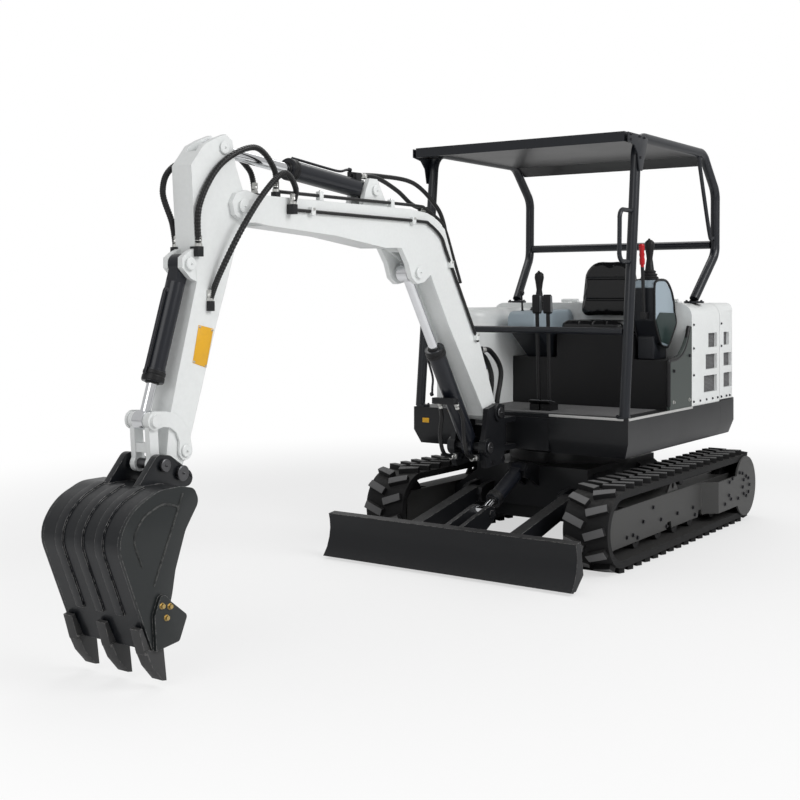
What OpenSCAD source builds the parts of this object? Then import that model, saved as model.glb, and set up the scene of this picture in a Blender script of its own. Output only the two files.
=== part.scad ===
// Mini excavator with a canopy, on rubber tracks, in millimetres.
// +X runs forward, +Y to the operator's left, +Z up; the origin is on the ground under the slew axis.

/* [Tracks] */
// Width over both tracks
over_w = 1500; // [1460:5:1560]
// Width of one rubber track
track_w = 250; // [230:5:260]
// Distance from sprocket to idler
wheel_span = 1820; // [1780:5:1860]
// Radius of the belt's outer face round the end wheels
belt_r = 195; // [190:1:200]
// Thickness of the belt
belt_t = 35; // [30:1:38]
// Height of the lugs
lug_h = 30; // [24:1:32]
// Number of lug pairs round a track
lug_n = 44; // [40:1:46]

/* [Blade] */
// Height of the blade's top edge
blade_top = 240; // [220:5:260]
// Half the distance between the blade's two arms
blade_arm_y = 305; // [290:5:320]

/* [House] */
// Width of the house
house_w = 1372; // [1340:2:1400]
// Front face of the house
house_front = 684; // [670:2:700]
// Rear of the counterweight
house_rear = 1095; // [1080:5:1110]
// Height of the deck
deck_z = 775; // [770:1:780]
// Lower edge of the skirts
skirt_z = 560; // [556:1:566]
// Thickness of the house's panels
panel_t = 20; // [15:1:22]

/* [Hood] */
// Top of the engine hood
hood_top = 1388; // [1375:1:1392]
// Front of the engine hood, behind the slew axis
hood_front = 240; // [230:2:250]
// Seam between the hood and its rear cover
hood_seam = 702; // [696:1:708]

/* [Canopy] */
// Diameter of the canopy's tubes
tube_d = 56; // [48:2:58]
// Height of the roof rails' centre line
rail_z = 2300; // [2280:5:2320]
// Distance of the rails' centre lines in from the house's sides
rail_inset = 31; // [28:1:40]

/* [Working gear] */
// Plane of the boom
boom_y = -60; // [-70:1:-50]
// Width of the boom
boom_w = 150; // [140:2:160]
// Width of the arm's end in the bucket
arm_w = 120; // [110:2:130]
// Width of the bucket
bucket_w = 450; // [420:5:480]
// Outside radius of the boom cylinder
boom_cyl_r = 50; // [44:1:52]
// Outside radius of the arm cylinder
arm_cyl_r = 47; // [42:1:50]
// Outside radius of the bucket cylinder
bucket_cyl_r = 42; // [38:1:46]

/* [Hidden] */
$fn = 48;
gap = 0.4;
axle_z = lug_h + belt_r;
idler_x = wheel_span / 2 - 30;
sprocket_x = -wheel_span / 2 - 30;
inner_r = belt_r - belt_t;
track_y = over_w / 2 - track_w / 2;
frame_hw = 60;
plate_t = 12;
frame_top = axle_z + 85;
frame_bot = axle_z - 117;
run_in = lug_h + belt_t;
roller_r = 45;
track_len = 2 * wheel_span + 2 * PI * belt_r;
half_w = house_w / 2;
rail_y = half_w - rail_inset;
tail_r = 185;
handle_r = 12;
handle_top = rail_z - 408;
handle_low = rail_z - 684;
crossbar_z = rail_z - 548;
knee_z = crossbar_z - 57;
foot_t = 12;
skirt_mid = deck_z - 135;
chamfer = 31;
ring_r = 340;
ring_z = 520;
pin_r = 25;
boom_boss_r = 46;
fork_t = 22;
swing_x = 800;

boom_foot = [955, 800];
boom_cyl_base = [1066, 620];
boom_cyl_pin = [1683, 1547];
arm_pivot = [2970, 1797];
arm_cyl_base = [2017, 1930];
arm_cyl_pin = [3061, 2029];
bucket_cyl_base = [3255, 1556];
link_pin = [3450, 958];
guide_pin = [3287, 830];
bucket_link_pin = [3438, 792];
bucket_pin = [3347, 753];
blade_pivot = [600, 285];
blade_cyl_base = [630, 450];
blade_cyl_pin = [1040, 260];
cover_hinge = [-hood_seam + 8, hood_top + 14];
hinge_r = 12;
hinge_y = [-350, 350];

// A flat outline in the X-Z plane, run from y0 to y1.
module slab(y0, y1, points) {
    translate([0, y1, 0])
        rotate([90, 0, 0])
            linear_extrude(height = y1 - y0)
                polygon(points);
}

// A round bar along Y.
module bar_y(p, y0, y1, r) {
    translate([p[0], y1, p[1]])
        rotate([90, 0, 0])
            cylinder(h = y1 - y0, r = r);
}

// A box between two corners.
module block(a, b) {
    translate(a)
        cube(b - a);
}

// A round bar between two points in space.
module bar(a, b, r) {
    d = b - a;
    translate(a)
        rotate([0, acos(d[2] / norm(d)), atan2(d[1], d[0])])
            cylinder(h = norm(d), r = r);
}

function unit(v) = v / norm(v);

// Angle by which a line through points turns at its corner i, and what a bend of radius r takes off each side.
function turn(p, i) = acos(unit(p[i] - p[i - 1]) * unit(p[i + 1] - p[i]));
function trim(p, i, r) = i == 0 || i == len(p) - 1 ? 0 : r * tan(turn(p, i) / 2);

// A bent tube of radius r through points in space, with a round elbow, a hair thicker, at each corner.
module bent_tube(p, r, bend) {
    lap = 2;
    for (i = [0 : len(p) - 2]) {
        along = unit(p[i + 1] - p[i]);
        start = i == 0 ? 0 : trim(p, i, bend) - lap;
        end = i == len(p) - 2 ? 0 : trim(p, i + 1, bend) - lap;
        bar(p[i] + along * start, p[i + 1] - along * end, r);
    }
    for (i = [1 : 1 : len(p) - 2]) {
        along = unit(p[i] - p[i - 1]);
        normal = unit(cross(along, p[i + 1] - p[i]));
        out = cross(along, normal);
        centre = p[i] - along * trim(p, i, bend) - out * bend;
        multmatrix([[out[0], along[0], normal[0], centre[0]], [out[1], along[1], normal[1], centre[1]],
            [out[2], along[2], normal[2], centre[2]], [0, 0, 0, 1]])
            rotate_extrude(angle = turn(p, i))
                translate([bend, 0])
                    circle(r = r + gap);
    }
}

// Places a child made along +X at point a, aimed at point b, in the plane at y.
module aim(a, b, y) {
    translate([a[0], y, a[1]])
        rotate([0, -atan2(b[1] - a[1], b[0] - a[0]), 0])
            children();
}

// A cylinder's barrel: a foot eye at the origin, a tube along +X and a gland at its mouth.
module barrel(length, r, rod_r, eye_r, eye_hw, pin, neck) {
    difference() {
        union() {
            bar_y([0, 0], -eye_hw, eye_hw, eye_r);
            block([0, -eye_hw + 1, -eye_r + 12], [neck + 5, eye_hw - 1, eye_r - 12]);
            translate([neck, 0, 0])
                rotate([0, 90, 0])
                    cylinder(h = length - neck - 30, r = r - 4);
            translate([length - 50, 0, 0])
                rotate([0, 90, 0])
                    cylinder(h = 50, r = r);
        }
        bar_y([0, 0], -eye_hw - 1, eye_hw + 1, pin);
        translate([neck + 15, 0, 0])
            rotate([0, 90, 0])
                cylinder(h = length, r = rod_r + gap);
    }
}

// A cylinder's rod: an eye at the far end of a bright bar that starts inside the barrel.
module rod(start, length, r, eye_r, eye_hw, pin) {
    difference() {
        union() {
            translate([start, 0, 0])
                rotate([0, 90, 0])
                    cylinder(h = length - start - pin - 4, r = r);
            bar_y([length, 0], -eye_hw, eye_hw, eye_r);
        }
        for (e = [-1, 1])
            bar_y([length, 0], e * eye_hw - 3, e * eye_hw + 3, pin);
    }
}

// Undercarriage

module car_body() {
    color([0.08, 0.085, 0.09]) {
        block([-430, -360, axle_z], [500, 360, 460]);
        translate([0, 0, 440])
            cylinder(h = ring_z - 440, r = ring_r + 25);
        for (x = [-300, 300])
            slab_x(x - 120, x + 120, [[-track_y + frame_hw + gap, frame_bot + 30],
                [track_y - frame_hw - gap, frame_bot + 30], [track_y - frame_hw - gap, frame_top - 30],
                [360, 430], [-360, 430], [-track_y + frame_hw + gap, frame_top - 30]]);
        for (s = [-1, 1])
            for (e = [-1, 1])
                blade_lug(s * blade_arm_y + e * 49.5);
        for (e = [-1, 1])
            slab(e * 44 - 12, e * 44 + 12, [[480, 330], [610, 400], [660, 410], [680, 450], [655, 490],
                [600, 490], [480, 455]]);
        for (s = [-1, 1])
            bar_y(blade_pivot, s * blade_arm_y - 64, s * blade_arm_y + 64, pin_r - gap);
        bar_y(blade_cyl_base, -60, 60, pin_r - 4 - gap);
    }
}

// A flat outline in the Y-Z plane, run from x0 to x1.
module slab_x(x0, x1, points) {
    translate([x0, 0, 0])
        rotate([90, 0, 90])
            linear_extrude(height = x1 - x0)
                polygon(points);
}

module blade_lug(y) {
    slab(y - 15, y + 15, [[490, 240], [600, 235], [640, 250], [655, 285], [640, 325], [600, 340], [490, 350]]);
}

module slew_ring() {
    color([0.2, 0.2, 0.21])
        translate([0, 0, ring_z])
            cylinder(h = skirt_z + 12 - ring_z - gap, r = ring_r);
}

module track_frame() {
    notch = [[-40, 0], [40, 0], [24, 40], [-24, 40]];
    color([0.42, 0.42, 0.41]) {
        difference() {
            union() {
                for (e = [-1, 1])
                    slab(track_y + e * (frame_hw - plate_t / 2) - plate_t / 2,
                        track_y + e * (frame_hw - plate_t / 2) + plate_t / 2,
                        [[sprocket_x + 85, frame_bot], [idler_x + 10, frame_bot], [idler_x + 50, frame_bot + 40],
                        [idler_x + 50, frame_top - 40], [idler_x + 10, frame_top], [sprocket_x + 85, frame_top]]);
                block([sprocket_x + 190, track_y - frame_hw, frame_top - plate_t],
                    [idler_x - 175, track_y + frame_hw, frame_top]);
            }
            for (x = [-360, 120])
                translate([x, track_y + 100, frame_bot - 1])
                    rotate([90, 0, 0])
                        linear_extrude(height = 200)
                            polygon(notch);
        }
        translate([0, 0, frame_bot + 10])
            linear_extrude(height = frame_top - frame_bot - 14)
                polygon([[-380, track_y + frame_hw - plate_t], [-380, track_y + frame_hw],
                    [-455, over_w / 2 + 16], [sprocket_x + 60, over_w / 2 + 16],
                    [sprocket_x + 60, over_w / 2 + 4], [-461, over_w / 2 + 4]]);
        bar_y([sprocket_x, axle_z], over_w / 2 + 4, over_w / 2 + 16, belt_r - 8);
        difference() {
            slab(track_y + frame_hw - 24, track_y + frame_hw - plate_t + 2, [[-40, frame_top - 30],
                [120, frame_top - 30], [120, frame_top], [62, axle_z + inner_r - 12],
                [18, axle_z + inner_r - 12], [-40, frame_top]]);
            bar_y([40, frame_top + 32], track_y, track_y + frame_hw, 18);
        }
    }
}

module left_track_frame() {
    track_frame();
}

module right_track_frame() {
    mirror([0, 1, 0])
        track_frame();
}

// Stands a child on the belt's outer face, a way s along it.
module on_belt(s) {
    arc = PI * belt_r;
    if (s < wheel_span)
        translate([sprocket_x + s, 0, axle_z - belt_r])
            rotate([0, 180, 0])
                children();
    else if (s < wheel_span + arc)
        translate([idler_x, 0, axle_z])
            rotate([0, 180 - (s - wheel_span) / arc * 180, 0])
                translate([0, 0, belt_r])
                    children();
    else if (s < 2 * wheel_span + arc)
        translate([idler_x - (s - wheel_span - arc), 0, axle_z + belt_r])
            children();
    else
        translate([sprocket_x, 0, axle_z])
            rotate([0, -(s - 2 * wheel_span - arc) / arc * 180, 0])
                translate([0, 0, belt_r])
                    children();
}

module belt_outline(r) {
    for (x = [sprocket_x, idler_x])
        translate([x, axle_z])
            circle(r = r);
    translate([sprocket_x, axle_z - r])
        square([wheel_span, 2 * r]);
}

module lug(w) {
    rotate([0, 0, 20])
        translate([-20, -w / 2, -10])
            cube([40, w, lug_h + 10]);
}

module track() {
    pitch = track_len / lug_n;
    color([0.05, 0.05, 0.052]) {
        translate([0, track_y + track_w / 2, 0])
            rotate([90, 0, 0])
                linear_extrude(height = track_w)
                    difference() {
                        belt_outline(belt_r);
                        belt_outline(inner_r);
                    }
        intersection() {
            for (i = [0 : lug_n - 1]) {
                on_belt((i + 0.25) * pitch)
                    translate([0, track_y + track_w / 4 - 4, 0])
                        lug(track_w / 2 - 10);
                on_belt((i + 0.75) * pitch)
                    mirror([0, 1, 0])
                        translate([0, -track_y + track_w / 4 - 4, 0])
                            lug(track_w / 2 - 10);
            }
            translate([0, track_y + track_w / 2, 0])
                rotate([90, 0, 0])
                    linear_extrude(height = track_w)
                        belt_outline(belt_r + lug_h);
        }
    }
}

module left_track() {
    track();
}

module right_track() {
    mirror([0, 1, 0])
        track();
}

module idlers() {
    color([0.15, 0.15, 0.16])
        for (s = [-1, 1])
            translate([0, s * track_y, 0]) {
                bar_y([idler_x, axle_z], -30, 30, inner_r - gap);
                bar_y([idler_x, axle_z], -frame_hw + plate_t, frame_hw - plate_t, 50);
            }
}

module sprockets() {
    color([0.15, 0.15, 0.16])
        for (s = [-1, 1])
            mirror([0, s < 0 ? 1 : 0, 0])
                translate([0, track_y, 0]) {
                    bar_y([sprocket_x, axle_z], -20, 20, inner_r - gap);
                    bar_y([sprocket_x, axle_z], -60, over_w / 2 + 4 - track_y, 75);
                }
}

module track_rollers() {
    color([0.15, 0.15, 0.16])
        for (s = [-1, 1])
            translate([0, s * track_y, 0]) {
                for (x = [-600, -240, 0, 240, 540]) {
                    bar_y([x, run_in + roller_r + gap], -frame_hw + plate_t + 6, frame_hw - plate_t - 6, roller_r);
                    bar_y([x, run_in + roller_r + gap], -frame_hw + plate_t, frame_hw - plate_t, 16);
                }
                bar_y([-140, axle_z + inner_r - 32], -30, 30, 32 - gap);
                block([-152, -48, frame_top], [-128, -36, axle_z + inner_r - 10]);
                bar_y([-140, axle_z + inner_r - 32], -40, 0, 12);
            }
}

module travel_motors() {
    color([0.09, 0.09, 0.095])
        for (s = [-1, 1])
            mirror([0, s < 0 ? 1 : 0, 0])
                translate([0, track_y, 0]) {
                    bar_y([sprocket_x, axle_z], -track_w / 2 - 60, -60 - gap, 95);
                    bar_y([sprocket_x, axle_z], -track_w / 2 - 130, -track_w / 2 - 60, 70);
                }
}

// Blade

module blade() {
    face = [[1474, 15], [1440, 60], [1420, 110], [1412, 160], [1416, 205], [1425, blade_top]];
    color([0.075, 0.08, 0.09]) {
        slab(-over_w / 2, over_w / 2, concat(face, [[1372, blade_top + 6], [1372, blade_top - 8],
            [1398, blade_top - 14], [1390, 160], [1396, 100], [1430, 30], [1452, 10]]));
        for (s = [-1, 1])
            translate([0, s * (over_w / 2 - 10), 0])
                slab(-10, 10, concat(face, [[1376, blade_top + 5], [1345, 80], [1425, 15]]));
        difference() {
            for (s = [-1, 1])
                slab(s * blade_arm_y - 34, s * blade_arm_y + 34, [[570, 250], [600, 240], [650, 245], [1400, 70],
                    [1400, 175], [660, 325], [600, 330], [570, 320]]);
            bar_y(blade_pivot, -600, 600, pin_r);
        }
        block([1180, -blade_arm_y, 120], [1250, blade_arm_y, 190]);
        difference() {
            for (e = [-1, 1])
                slab(e * 44 - 12, e * 44 + 12, [[1395, 90], [1395, 220], [1080, 300], [1040, 305], [1000, 290],
                    [995, 245], [1020, 220], [1190, 130]]);
            bar_y(blade_cyl_pin, -100, 100, pin_r - 4);
        }
        for (e = [-1, 1])
            bar_y(blade_cyl_pin, e * 47 - 15, e * 47 + 15, pin_r - 4);
    }
}

module blade_cylinder_barrel() {
    color([0.06, 0.07, 0.1])
        aim(blade_cyl_base, blade_cyl_pin, 0)
            barrel(330, 44, 22, 42, 31, pin_r - 4, 66);
}

module blade_cylinder_rod() {
    color([0.75, 0.76, 0.78])
        aim(blade_cyl_base, blade_cyl_pin, 0)
            rod(150, norm(blade_cyl_pin - blade_cyl_base), 22, 40, 31, pin_r - 4);
}

// House

module house_solid(inset) {
    block([-house_rear + inset, -half_w + inset, skirt_mid], [house_front - inset, half_w - inset, deck_z]);
    hull() {
        block([-house_rear + inset, -half_w + inset, skirt_mid], [house_front - inset, half_w - inset, skirt_mid + 1]);
        block([-house_rear + inset + chamfer, -half_w + inset + chamfer, skirt_z],
            [house_front - inset - chamfer, half_w - inset - chamfer, skirt_z + 1]);
    }
}

module skirt_ring() {
    difference() {
        house_solid(0);
        translate([0, 0, -1])
            house_solid(panel_t);
        translate([0, 0, 2])
            house_solid(panel_t);
    }
}

module house_frame() {
    color([0.08, 0.085, 0.09]) {
        difference() {
            union() {
                block([-hood_seam + gap, -half_w + 60, skirt_z + 12], [600, half_w - 60, skirt_z + 42]);
                block([520, -300, skirt_z + 12], [house_front - 4, 210, deck_z - 20 - gap]);
                for (z = [skirt_z + 12, deck_z - 50])
                    translate([0, boom_y, z]) {
                        block([house_front - 10, -62, 0], [swing_x, 62, 30]);
                        translate([swing_x, 0, 0])
                            cylinder(h = 30, r = 62);
                    }
                block([-180, -half_w + 60, skirt_z + 12], [-160, half_w - 60, deck_z - 20 - gap]);
            }
            translate([swing_x, boom_y, 0])
                cylinder(h = deck_z + 100, r = pin_r + 5);
        }
        translate([swing_x, boom_y, skirt_z + 12])
            cylinder(h = deck_z - 20 - skirt_z - 12, r = pin_r + 5);
    }
}

module left_skirt() {
    color([0.085, 0.09, 0.1])
        intersection() {
            skirt_ring();
            union() {
                block([-hood_seam + gap, 300, 0], [house_front + 1, half_w + 1, deck_z + 1]);
                block([house_front - 80, 212, 0], [house_front + 1, 400, deck_z + 1]);
            }
        }
}

module right_skirt() {
    color([0.085, 0.09, 0.1])
        intersection() {
            skirt_ring();
            union() {
                block([-hood_seam + gap, -half_w - 1, 0], [house_front + 1, -400, deck_z + 1]);
                block([house_front - 80, -500, 0], [house_front + 1, -302, deck_z + 1]);
            }
        }
}

module tail_plan(inset) {
    translate([-house_rear + tail_r, -half_w + inset])
        square([house_rear - tail_r - hood_seam - gap, house_w - 2 * inset]);
    translate([-house_rear + inset, -half_w + tail_r])
        square([house_rear - hood_seam - gap - inset, house_w - 2 * tail_r]);
    for (s = [-1, 1])
        translate([-house_rear + tail_r, s * (half_w - tail_r)])
            circle(r = tail_r - inset);
}

module counterweight() {
    color([0.085, 0.09, 0.1]) {
        translate([0, 0, skirt_mid])
            linear_extrude(height = deck_z + 5 - skirt_mid)
                tail_plan(0);
        hull() {
            translate([0, 0, skirt_mid])
                linear_extrude(height = 1)
                    tail_plan(0);
            translate([0, 0, skirt_z])
                linear_extrude(height = 1)
                    tail_plan(chamfer);
        }
    }
}

module deck() {
    color([0.09, 0.09, 0.095])
        block([-hood_front, -half_w + panel_t, deck_z - 20], [house_front - panel_t, half_w - panel_t, deck_z]);
}

module hood_section(inset) {
    r = 80 - inset;
    translate([-half_w + 6 + inset, deck_z + gap])
        square([house_w - 12 - 2 * inset, hood_top - 80 - deck_z - gap]);
    translate([-half_w + 86, deck_z + gap])
        square([house_w - 172, hood_top - inset - deck_z - gap]);
    for (s = [-1, 1])
        translate([s * (half_w - 86), hood_top - 80])
            circle(r = r);
}

module hood_run(x0, x1, inset) {
    translate([x0, 0, 0])
        rotate([90, 0, 90])
            linear_extrude(height = x1 - x0)
                hood_section(inset);
}

module vents() {
    for (v = [[-659, -511, -659, 1118, 1205], [-658, -466, -658, 985, 1076], [-658, -436, -658, 846, 947],
        [-873, -776, -873, 1124, 1206], [-915, -775, -915, 993, 1075], [-931, -775, -931, 858, 949]])
        slab(half_w - 60, half_w + 10, [[v[0], v[3]], [v[1], v[3]], [v[1], v[4]], [v[2], v[4]]]);
}

module engine_hood() {
    color([0.88, 0.88, 0.86]) {
        difference() {
            hood_run(-hood_seam + 2, -hood_front, 0);
            translate([0, 0, -1])
                hood_run(-hood_seam - 10, -hood_front - panel_t, panel_t);
            vents();
        }
        for (y = hinge_y) {
            block([cover_hinge[0] - 4, y - 20, hood_top - 2], [cover_hinge[0] + 60, y + 20, hood_top + 8]);
            bar_y(cover_hinge, y - 20, y + 20, hinge_r);
        }
    }
}

module cover_plan(inset) {
    r = 151 - inset;
    translate([-house_rear + 195, -half_w + 5 + inset])
        square([house_rear - 195 - hood_seam - 4 + inset, house_w - 10 - 2 * inset]);
    translate([-house_rear + 44 + inset, -half_w + 156])
        square([house_rear - hood_seam - 48, house_w - 312]);
    for (s = [-1, 1])
        translate([-house_rear + 195, s * (half_w - 156)])
            circle(r = r);
}

module cover_solid(inset) {
    intersection() {
        hood_run(-house_rear, -hood_seam - 4 + inset, inset);
        translate([0, 0, deck_z - 100])
            linear_extrude(height = 1000)
                cover_plan(inset);
    }
}

module engine_cover() {
    color([0.88, 0.88, 0.86]) {
        difference() {
            cover_solid(0);
            translate([0, 0, -1])
                cover_solid(panel_t);
            vents();
            block([-2000, -1000, 0], [2000, 1000, deck_z + 10]);
        }
        for (y = hinge_y)
            for (e = [-1, 1])
                translate([0, y + e * (40 + gap), 0]) {
                    block([cover_hinge[0] - 75, -20, hood_top - 2], [cover_hinge[0] - 20, 20, hood_top + 8]);
                    block([cover_hinge[0] - 21, -20, hood_top + 2], [cover_hinge[0], 20, hood_top + 8]);
                    bar_y(cover_hinge, -20, 20, hinge_r);
                }
    }
}

module engine() {
    color([0.2, 0.21, 0.22])
        block([-960, -330, deck_z + 5 + gap], [-320, 330, hood_top - 180]);
}

module right_cover() {
    color([0.88, 0.88, 0.86])
        difference() {
            block([-hood_front + gap, -half_w + 4, deck_z + gap], [480, -364, hood_top - 28]);
            block([-hood_front + panel_t, -half_w + 4 + panel_t, deck_z - 1], [480 - panel_t, -364 - panel_t,
                hood_top - 28 - panel_t]);
        }
}

module left_panel() {
    color([0.18, 0.22, 0.2])
        slab(half_w - 26, half_w - 6, [[-hood_front + gap, deck_z + gap], [95, deck_z + gap], [95, 1060],
            [40, 1066], [-60, 1090], [-130, 1140], [-190, 1210], [-215, 1250], [-hood_front + gap, 1250]]);
}

module seat_base() {
    color([0.04, 0.04, 0.045])
        difference() {
            union() {
                block([-hood_front + gap, -364 + gap, deck_z + gap], [60, half_w - 26 - gap, 1060]);
                block([-hood_front + gap, -60, 1000], [60, 440, 1205]);
            }
            block([-hood_front + panel_t, -364 + panel_t, deck_z - 1], [60 - panel_t, half_w - 26 - panel_t,
                1060 - panel_t]);
        }
}

module seat_cushion() {
    color([0.03, 0.03, 0.035])
        block([-hood_front + 20, -40, 1205 + gap], [110, 400, 1289]);
}

module seat_back() {
    color([0.03, 0.03, 0.035])
        slab(-20, 380, [[-200, 1289 + gap], [-130, 1289 + gap], [-160, 1430], [-190, 1660], [-235, 1660],
            [-230, 1430]]);
}

module left_console() {
    color([0.6, 0.66, 0.7]) {
        slab(half_w - 236, half_w - 101, [[90, 1290], [95, 1490], [60, 1524], [-70, 1526], [-150, 1470],
            [-195, 1390], [-200, 1340], [-235, 1270], [-110, 1130], [0, 1150]]);
        block([-150, half_w - 231, 1060 + gap], [40, half_w - 126, 1200]);
    }
}

module right_console() {
    color([0.6, 0.66, 0.7])
        slab(-280, -90, [[-230, 1060 + gap], [40, 1060 + gap], [230, 1200], [290, 1260], [270, 1340],
            [-200, 1350], [-230, 1300]]);
}

module joysticks() {
    color([0.04, 0.04, 0.045])
        for (p = [[60, -180, 1345], [0, half_w - 171, 1525.6]])
            translate(p) {
                translate([0, 0, 6])
                    cylinder(h = 60, r1 = 55, r2 = 25);
                cylinder(h = 200, r = 18);
                translate([0, 0, 200])
                    sphere(r = 28);
            }
}

module travel_levers() {
    color([0.07, 0.07, 0.075])
        for (y = [40, 110]) {
            bar([470, y, deck_z + gap], [500, y, 1400], 11);
            block([430, y - 30, deck_z + gap], [530, y + 30, deck_z + 40]);
        }
}

module hand_levers() {
    color([0.7, 0.05, 0.08]) {
        block([91.6, half_w - 176, 1300], [125, half_w - 136, 1340]);
        bar([112, half_w - 156, 1320], [150, half_w - 156, 1720], 10);
    }
}

// Canopy

// Middle of a front canopy post at height z.
function post_x(z) = 661 - (z - deck_z) * 157 / (rail_z - deck_z);

module hoop() {
    y = rail_y;
    color([0.1, 0.11, 0.13]) {
        bent_tube([[post_x(deck_z), y, deck_z + foot_t / 2], [post_x(rail_z), y, rail_z], [-480, y, rail_z],
            [-695, y, rail_z - 220], [-690, y, knee_z], [-440, y - 40, hood_top + 2 * foot_t]], tube_d / 2, 120);
        translate([-440, y - 40, hood_top + gap])
            cylinder(h = foot_t, r = 60);
        translate([post_x(deck_z) - 10, y - 12, deck_z + gap])
            cylinder(h = foot_t, r = 40);
    }
}

module left_hoop() {
    hoop();
}

module right_hoop() {
    mirror([0, 1, 0])
        hoop();
}

module canopy_bars() {
    color([0.1, 0.11, 0.13]) {
        reach = rail_y - tube_d / 2 - gap;
        bar([-690, -reach, crossbar_z], [-690, reach, crossbar_z], 25);
        bar([612, -reach, 1240], [612, reach, 1240], 19);
    }
}

module canopy_roof() {
    color([0.1, 0.11, 0.13]) {
        slab(-rail_y + tube_d / 2 + gap, rail_y - tube_d / 2 - gap, [[-480, rail_z - 12], [-560, rail_z - 66],
            [-566, rail_z - 56], [-484, rail_z + 8], [692, rail_z + 8], [692, rail_z - 46], [672, rail_z - 46],
            [672, rail_z - 12]]);
        for (s = [-1, 1])
            block([570, s * (rail_y - 30) - 42, rail_z - 46], [692, s * (rail_y - 30) + 42, rail_z + 8]);
    }
}

// Front face of a canopy post where a handle's end meets it at height z.
function post_front(z) = post_x(z - handle_r) + tube_d / 2 + 2 * gap;

module grab_handle() {
    color([0.1, 0.11, 0.13])
        bent_tube([[post_front(handle_top), rail_y, handle_top], [722, rail_y, handle_top],
            [728, rail_y, handle_low], [post_front(handle_low), rail_y, handle_low]], handle_r, 45);
}

// Working gear

module swing_bracket() {
    hw = boom_w / 2 + 3;
    color([0.08, 0.085, 0.09])
        translate([0, boom_y, 0])
            difference() {
                union() {
                    for (e = [-1, 1])
                        slab(e * (hw + 15) - 15, e * (hw + 15) + 15, [[885, 520], [1079, 509], [1110, 617],
                            [1075, 737], [1062, 826], [972, 844], [885, 837]]);
                    block([840, -hw - 1, skirt_z + 48], [900, hw + 1, deck_z - 56]);
                    translate([swing_x, 0, skirt_z + 48])
                        cylinder(h = deck_z - 56 - skirt_z - 48, r = 60);
                    block([swing_x, -60, skirt_z + 48], [860, 60, deck_z - 56]);
                    for (p = [boom_foot, boom_cyl_base])
                        for (e = [-1, 1])
                            bar_y(p, e * (hw + 20) - 22, e * (hw + 20) + 22, 48);
                }
                translate([swing_x, 0, 0])
                    cylinder(h = 2000, r = pin_r + 5 + gap);
                for (p = [boom_foot, boom_cyl_base])
                    bar_y(p, -500, 500, pin_r);
            }
    color([0.3, 0.3, 0.31])
        translate([0, boom_y, 0])
            for (p = [boom_foot, boom_cyl_base])
                bar_y(p, -hw - 46, hw + 46, pin_r);
}

module boom() {
    hw = boom_w / 2;
    color([0.88, 0.88, 0.86])
        translate([0, boom_y, 0])
            difference() {
                union() {
                    slab(-hw, hw, [[925, 834], [1089, 1173], [1183, 1274], [1220, 1367], [1313, 1507], [1397, 1685],
                        [1442, 1773], [1542, 1829], [1604, 1846], [1758, 1857], [2900, 1850], [2900, 1735],
                        [2808, 1725], [2349, 1702], [1963, 1660], [1816, 1665], [1703, 1623], [1580, 1551],
                        [1543, 1491], [1399, 1276], [1060, 822], [992, 772]]);
                    bar_y(boom_foot, -hw, hw, boom_boss_r);
                    for (e = [-1, 1])
                        slab(e * (hw - 14) - 14, e * (hw - 14) + 14, [[1560, 1545], [1630, 1500], [1690, 1490],
                            [1740, 1520], [1770, 1590], [1830, 1665], [1700, 1680]]);
                    for (e = [-1, 1])
                        slab(e * 40 - 12, e * 40 + 12, [[1900, 1840], [2000, 1985], [2060, 1985], [2090, 1930],
                            [2120, 1840]]);
                    for (e = [-1, 1])
                        slab(e * (hw - 11) - 11, e * (hw - 11) + 11, [[2880, 1735], [2950, 1730], [3020, 1760],
                            [3035, 1810], [3010, 1850], [2950, 1865], [2880, 1850]]);
                }
                bar_y(boom_foot, -500, 500, pin_r + gap);
                bar_y(arm_pivot, -500, 500, pin_r);
                bar_y(boom_cyl_pin, -500, 500, pin_r);
                bar_y(arm_cyl_base, -500, 500, pin_r - 4);
                slab(-31, 31, [[1530, 1500], [1570, 1660], [1640, 1700], [1740, 1680], [1800, 1600], [1700, 1400]]);
                slab(-boom_cyl_r - 7, boom_cyl_r + 7, [[1000, 740], [1440, 1250], [1600, 1480], [1508, 1514],
                    [1365, 1301], [1026, 847], [1003, 790]]);
                bar_y(arm_pivot, -hw + fork_t, hw - fork_t, 170);
            }
    color([0.3, 0.3, 0.31])
        translate([0, boom_y, 0]) {
            bar_y(arm_pivot, -hw - 8, hw + 8, pin_r);
            for (e = [-1, 1])
                bar_y(boom_cyl_pin, e * (hw - 10) - 20, e * (hw - 10) + 20, pin_r);
            bar_y(arm_cyl_base, -60, 60, pin_r - 4);
        }
}

module boom_cylinder_barrel() {
    color([0.05, 0.06, 0.09])
        aim(boom_cyl_base, boom_cyl_pin, boom_y)
            barrel(650, boom_cyl_r, 25, 46, 30, pin_r + gap, 60);
}

module boom_cylinder_rod() {
    color([0.75, 0.76, 0.78])
        aim(boom_cyl_base, boom_cyl_pin, boom_y)
            rod(350, norm(boom_cyl_pin - boom_cyl_base), 25, 44, 30, pin_r);
}

module arm_cylinder_barrel() {
    color([0.05, 0.06, 0.09])
        aim(arm_cyl_base, arm_cyl_pin, boom_y)
            barrel(590, arm_cyl_r, 25, 42, 27, pin_r - 4 + gap, 88);
}

module arm_cylinder_rod() {
    color([0.75, 0.76, 0.78])
        aim(arm_cyl_base, arm_cyl_pin, boom_y)
            rod(354, norm(arm_cyl_pin - arm_cyl_base), 25, 42, 27, pin_r - 4);
}

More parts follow.
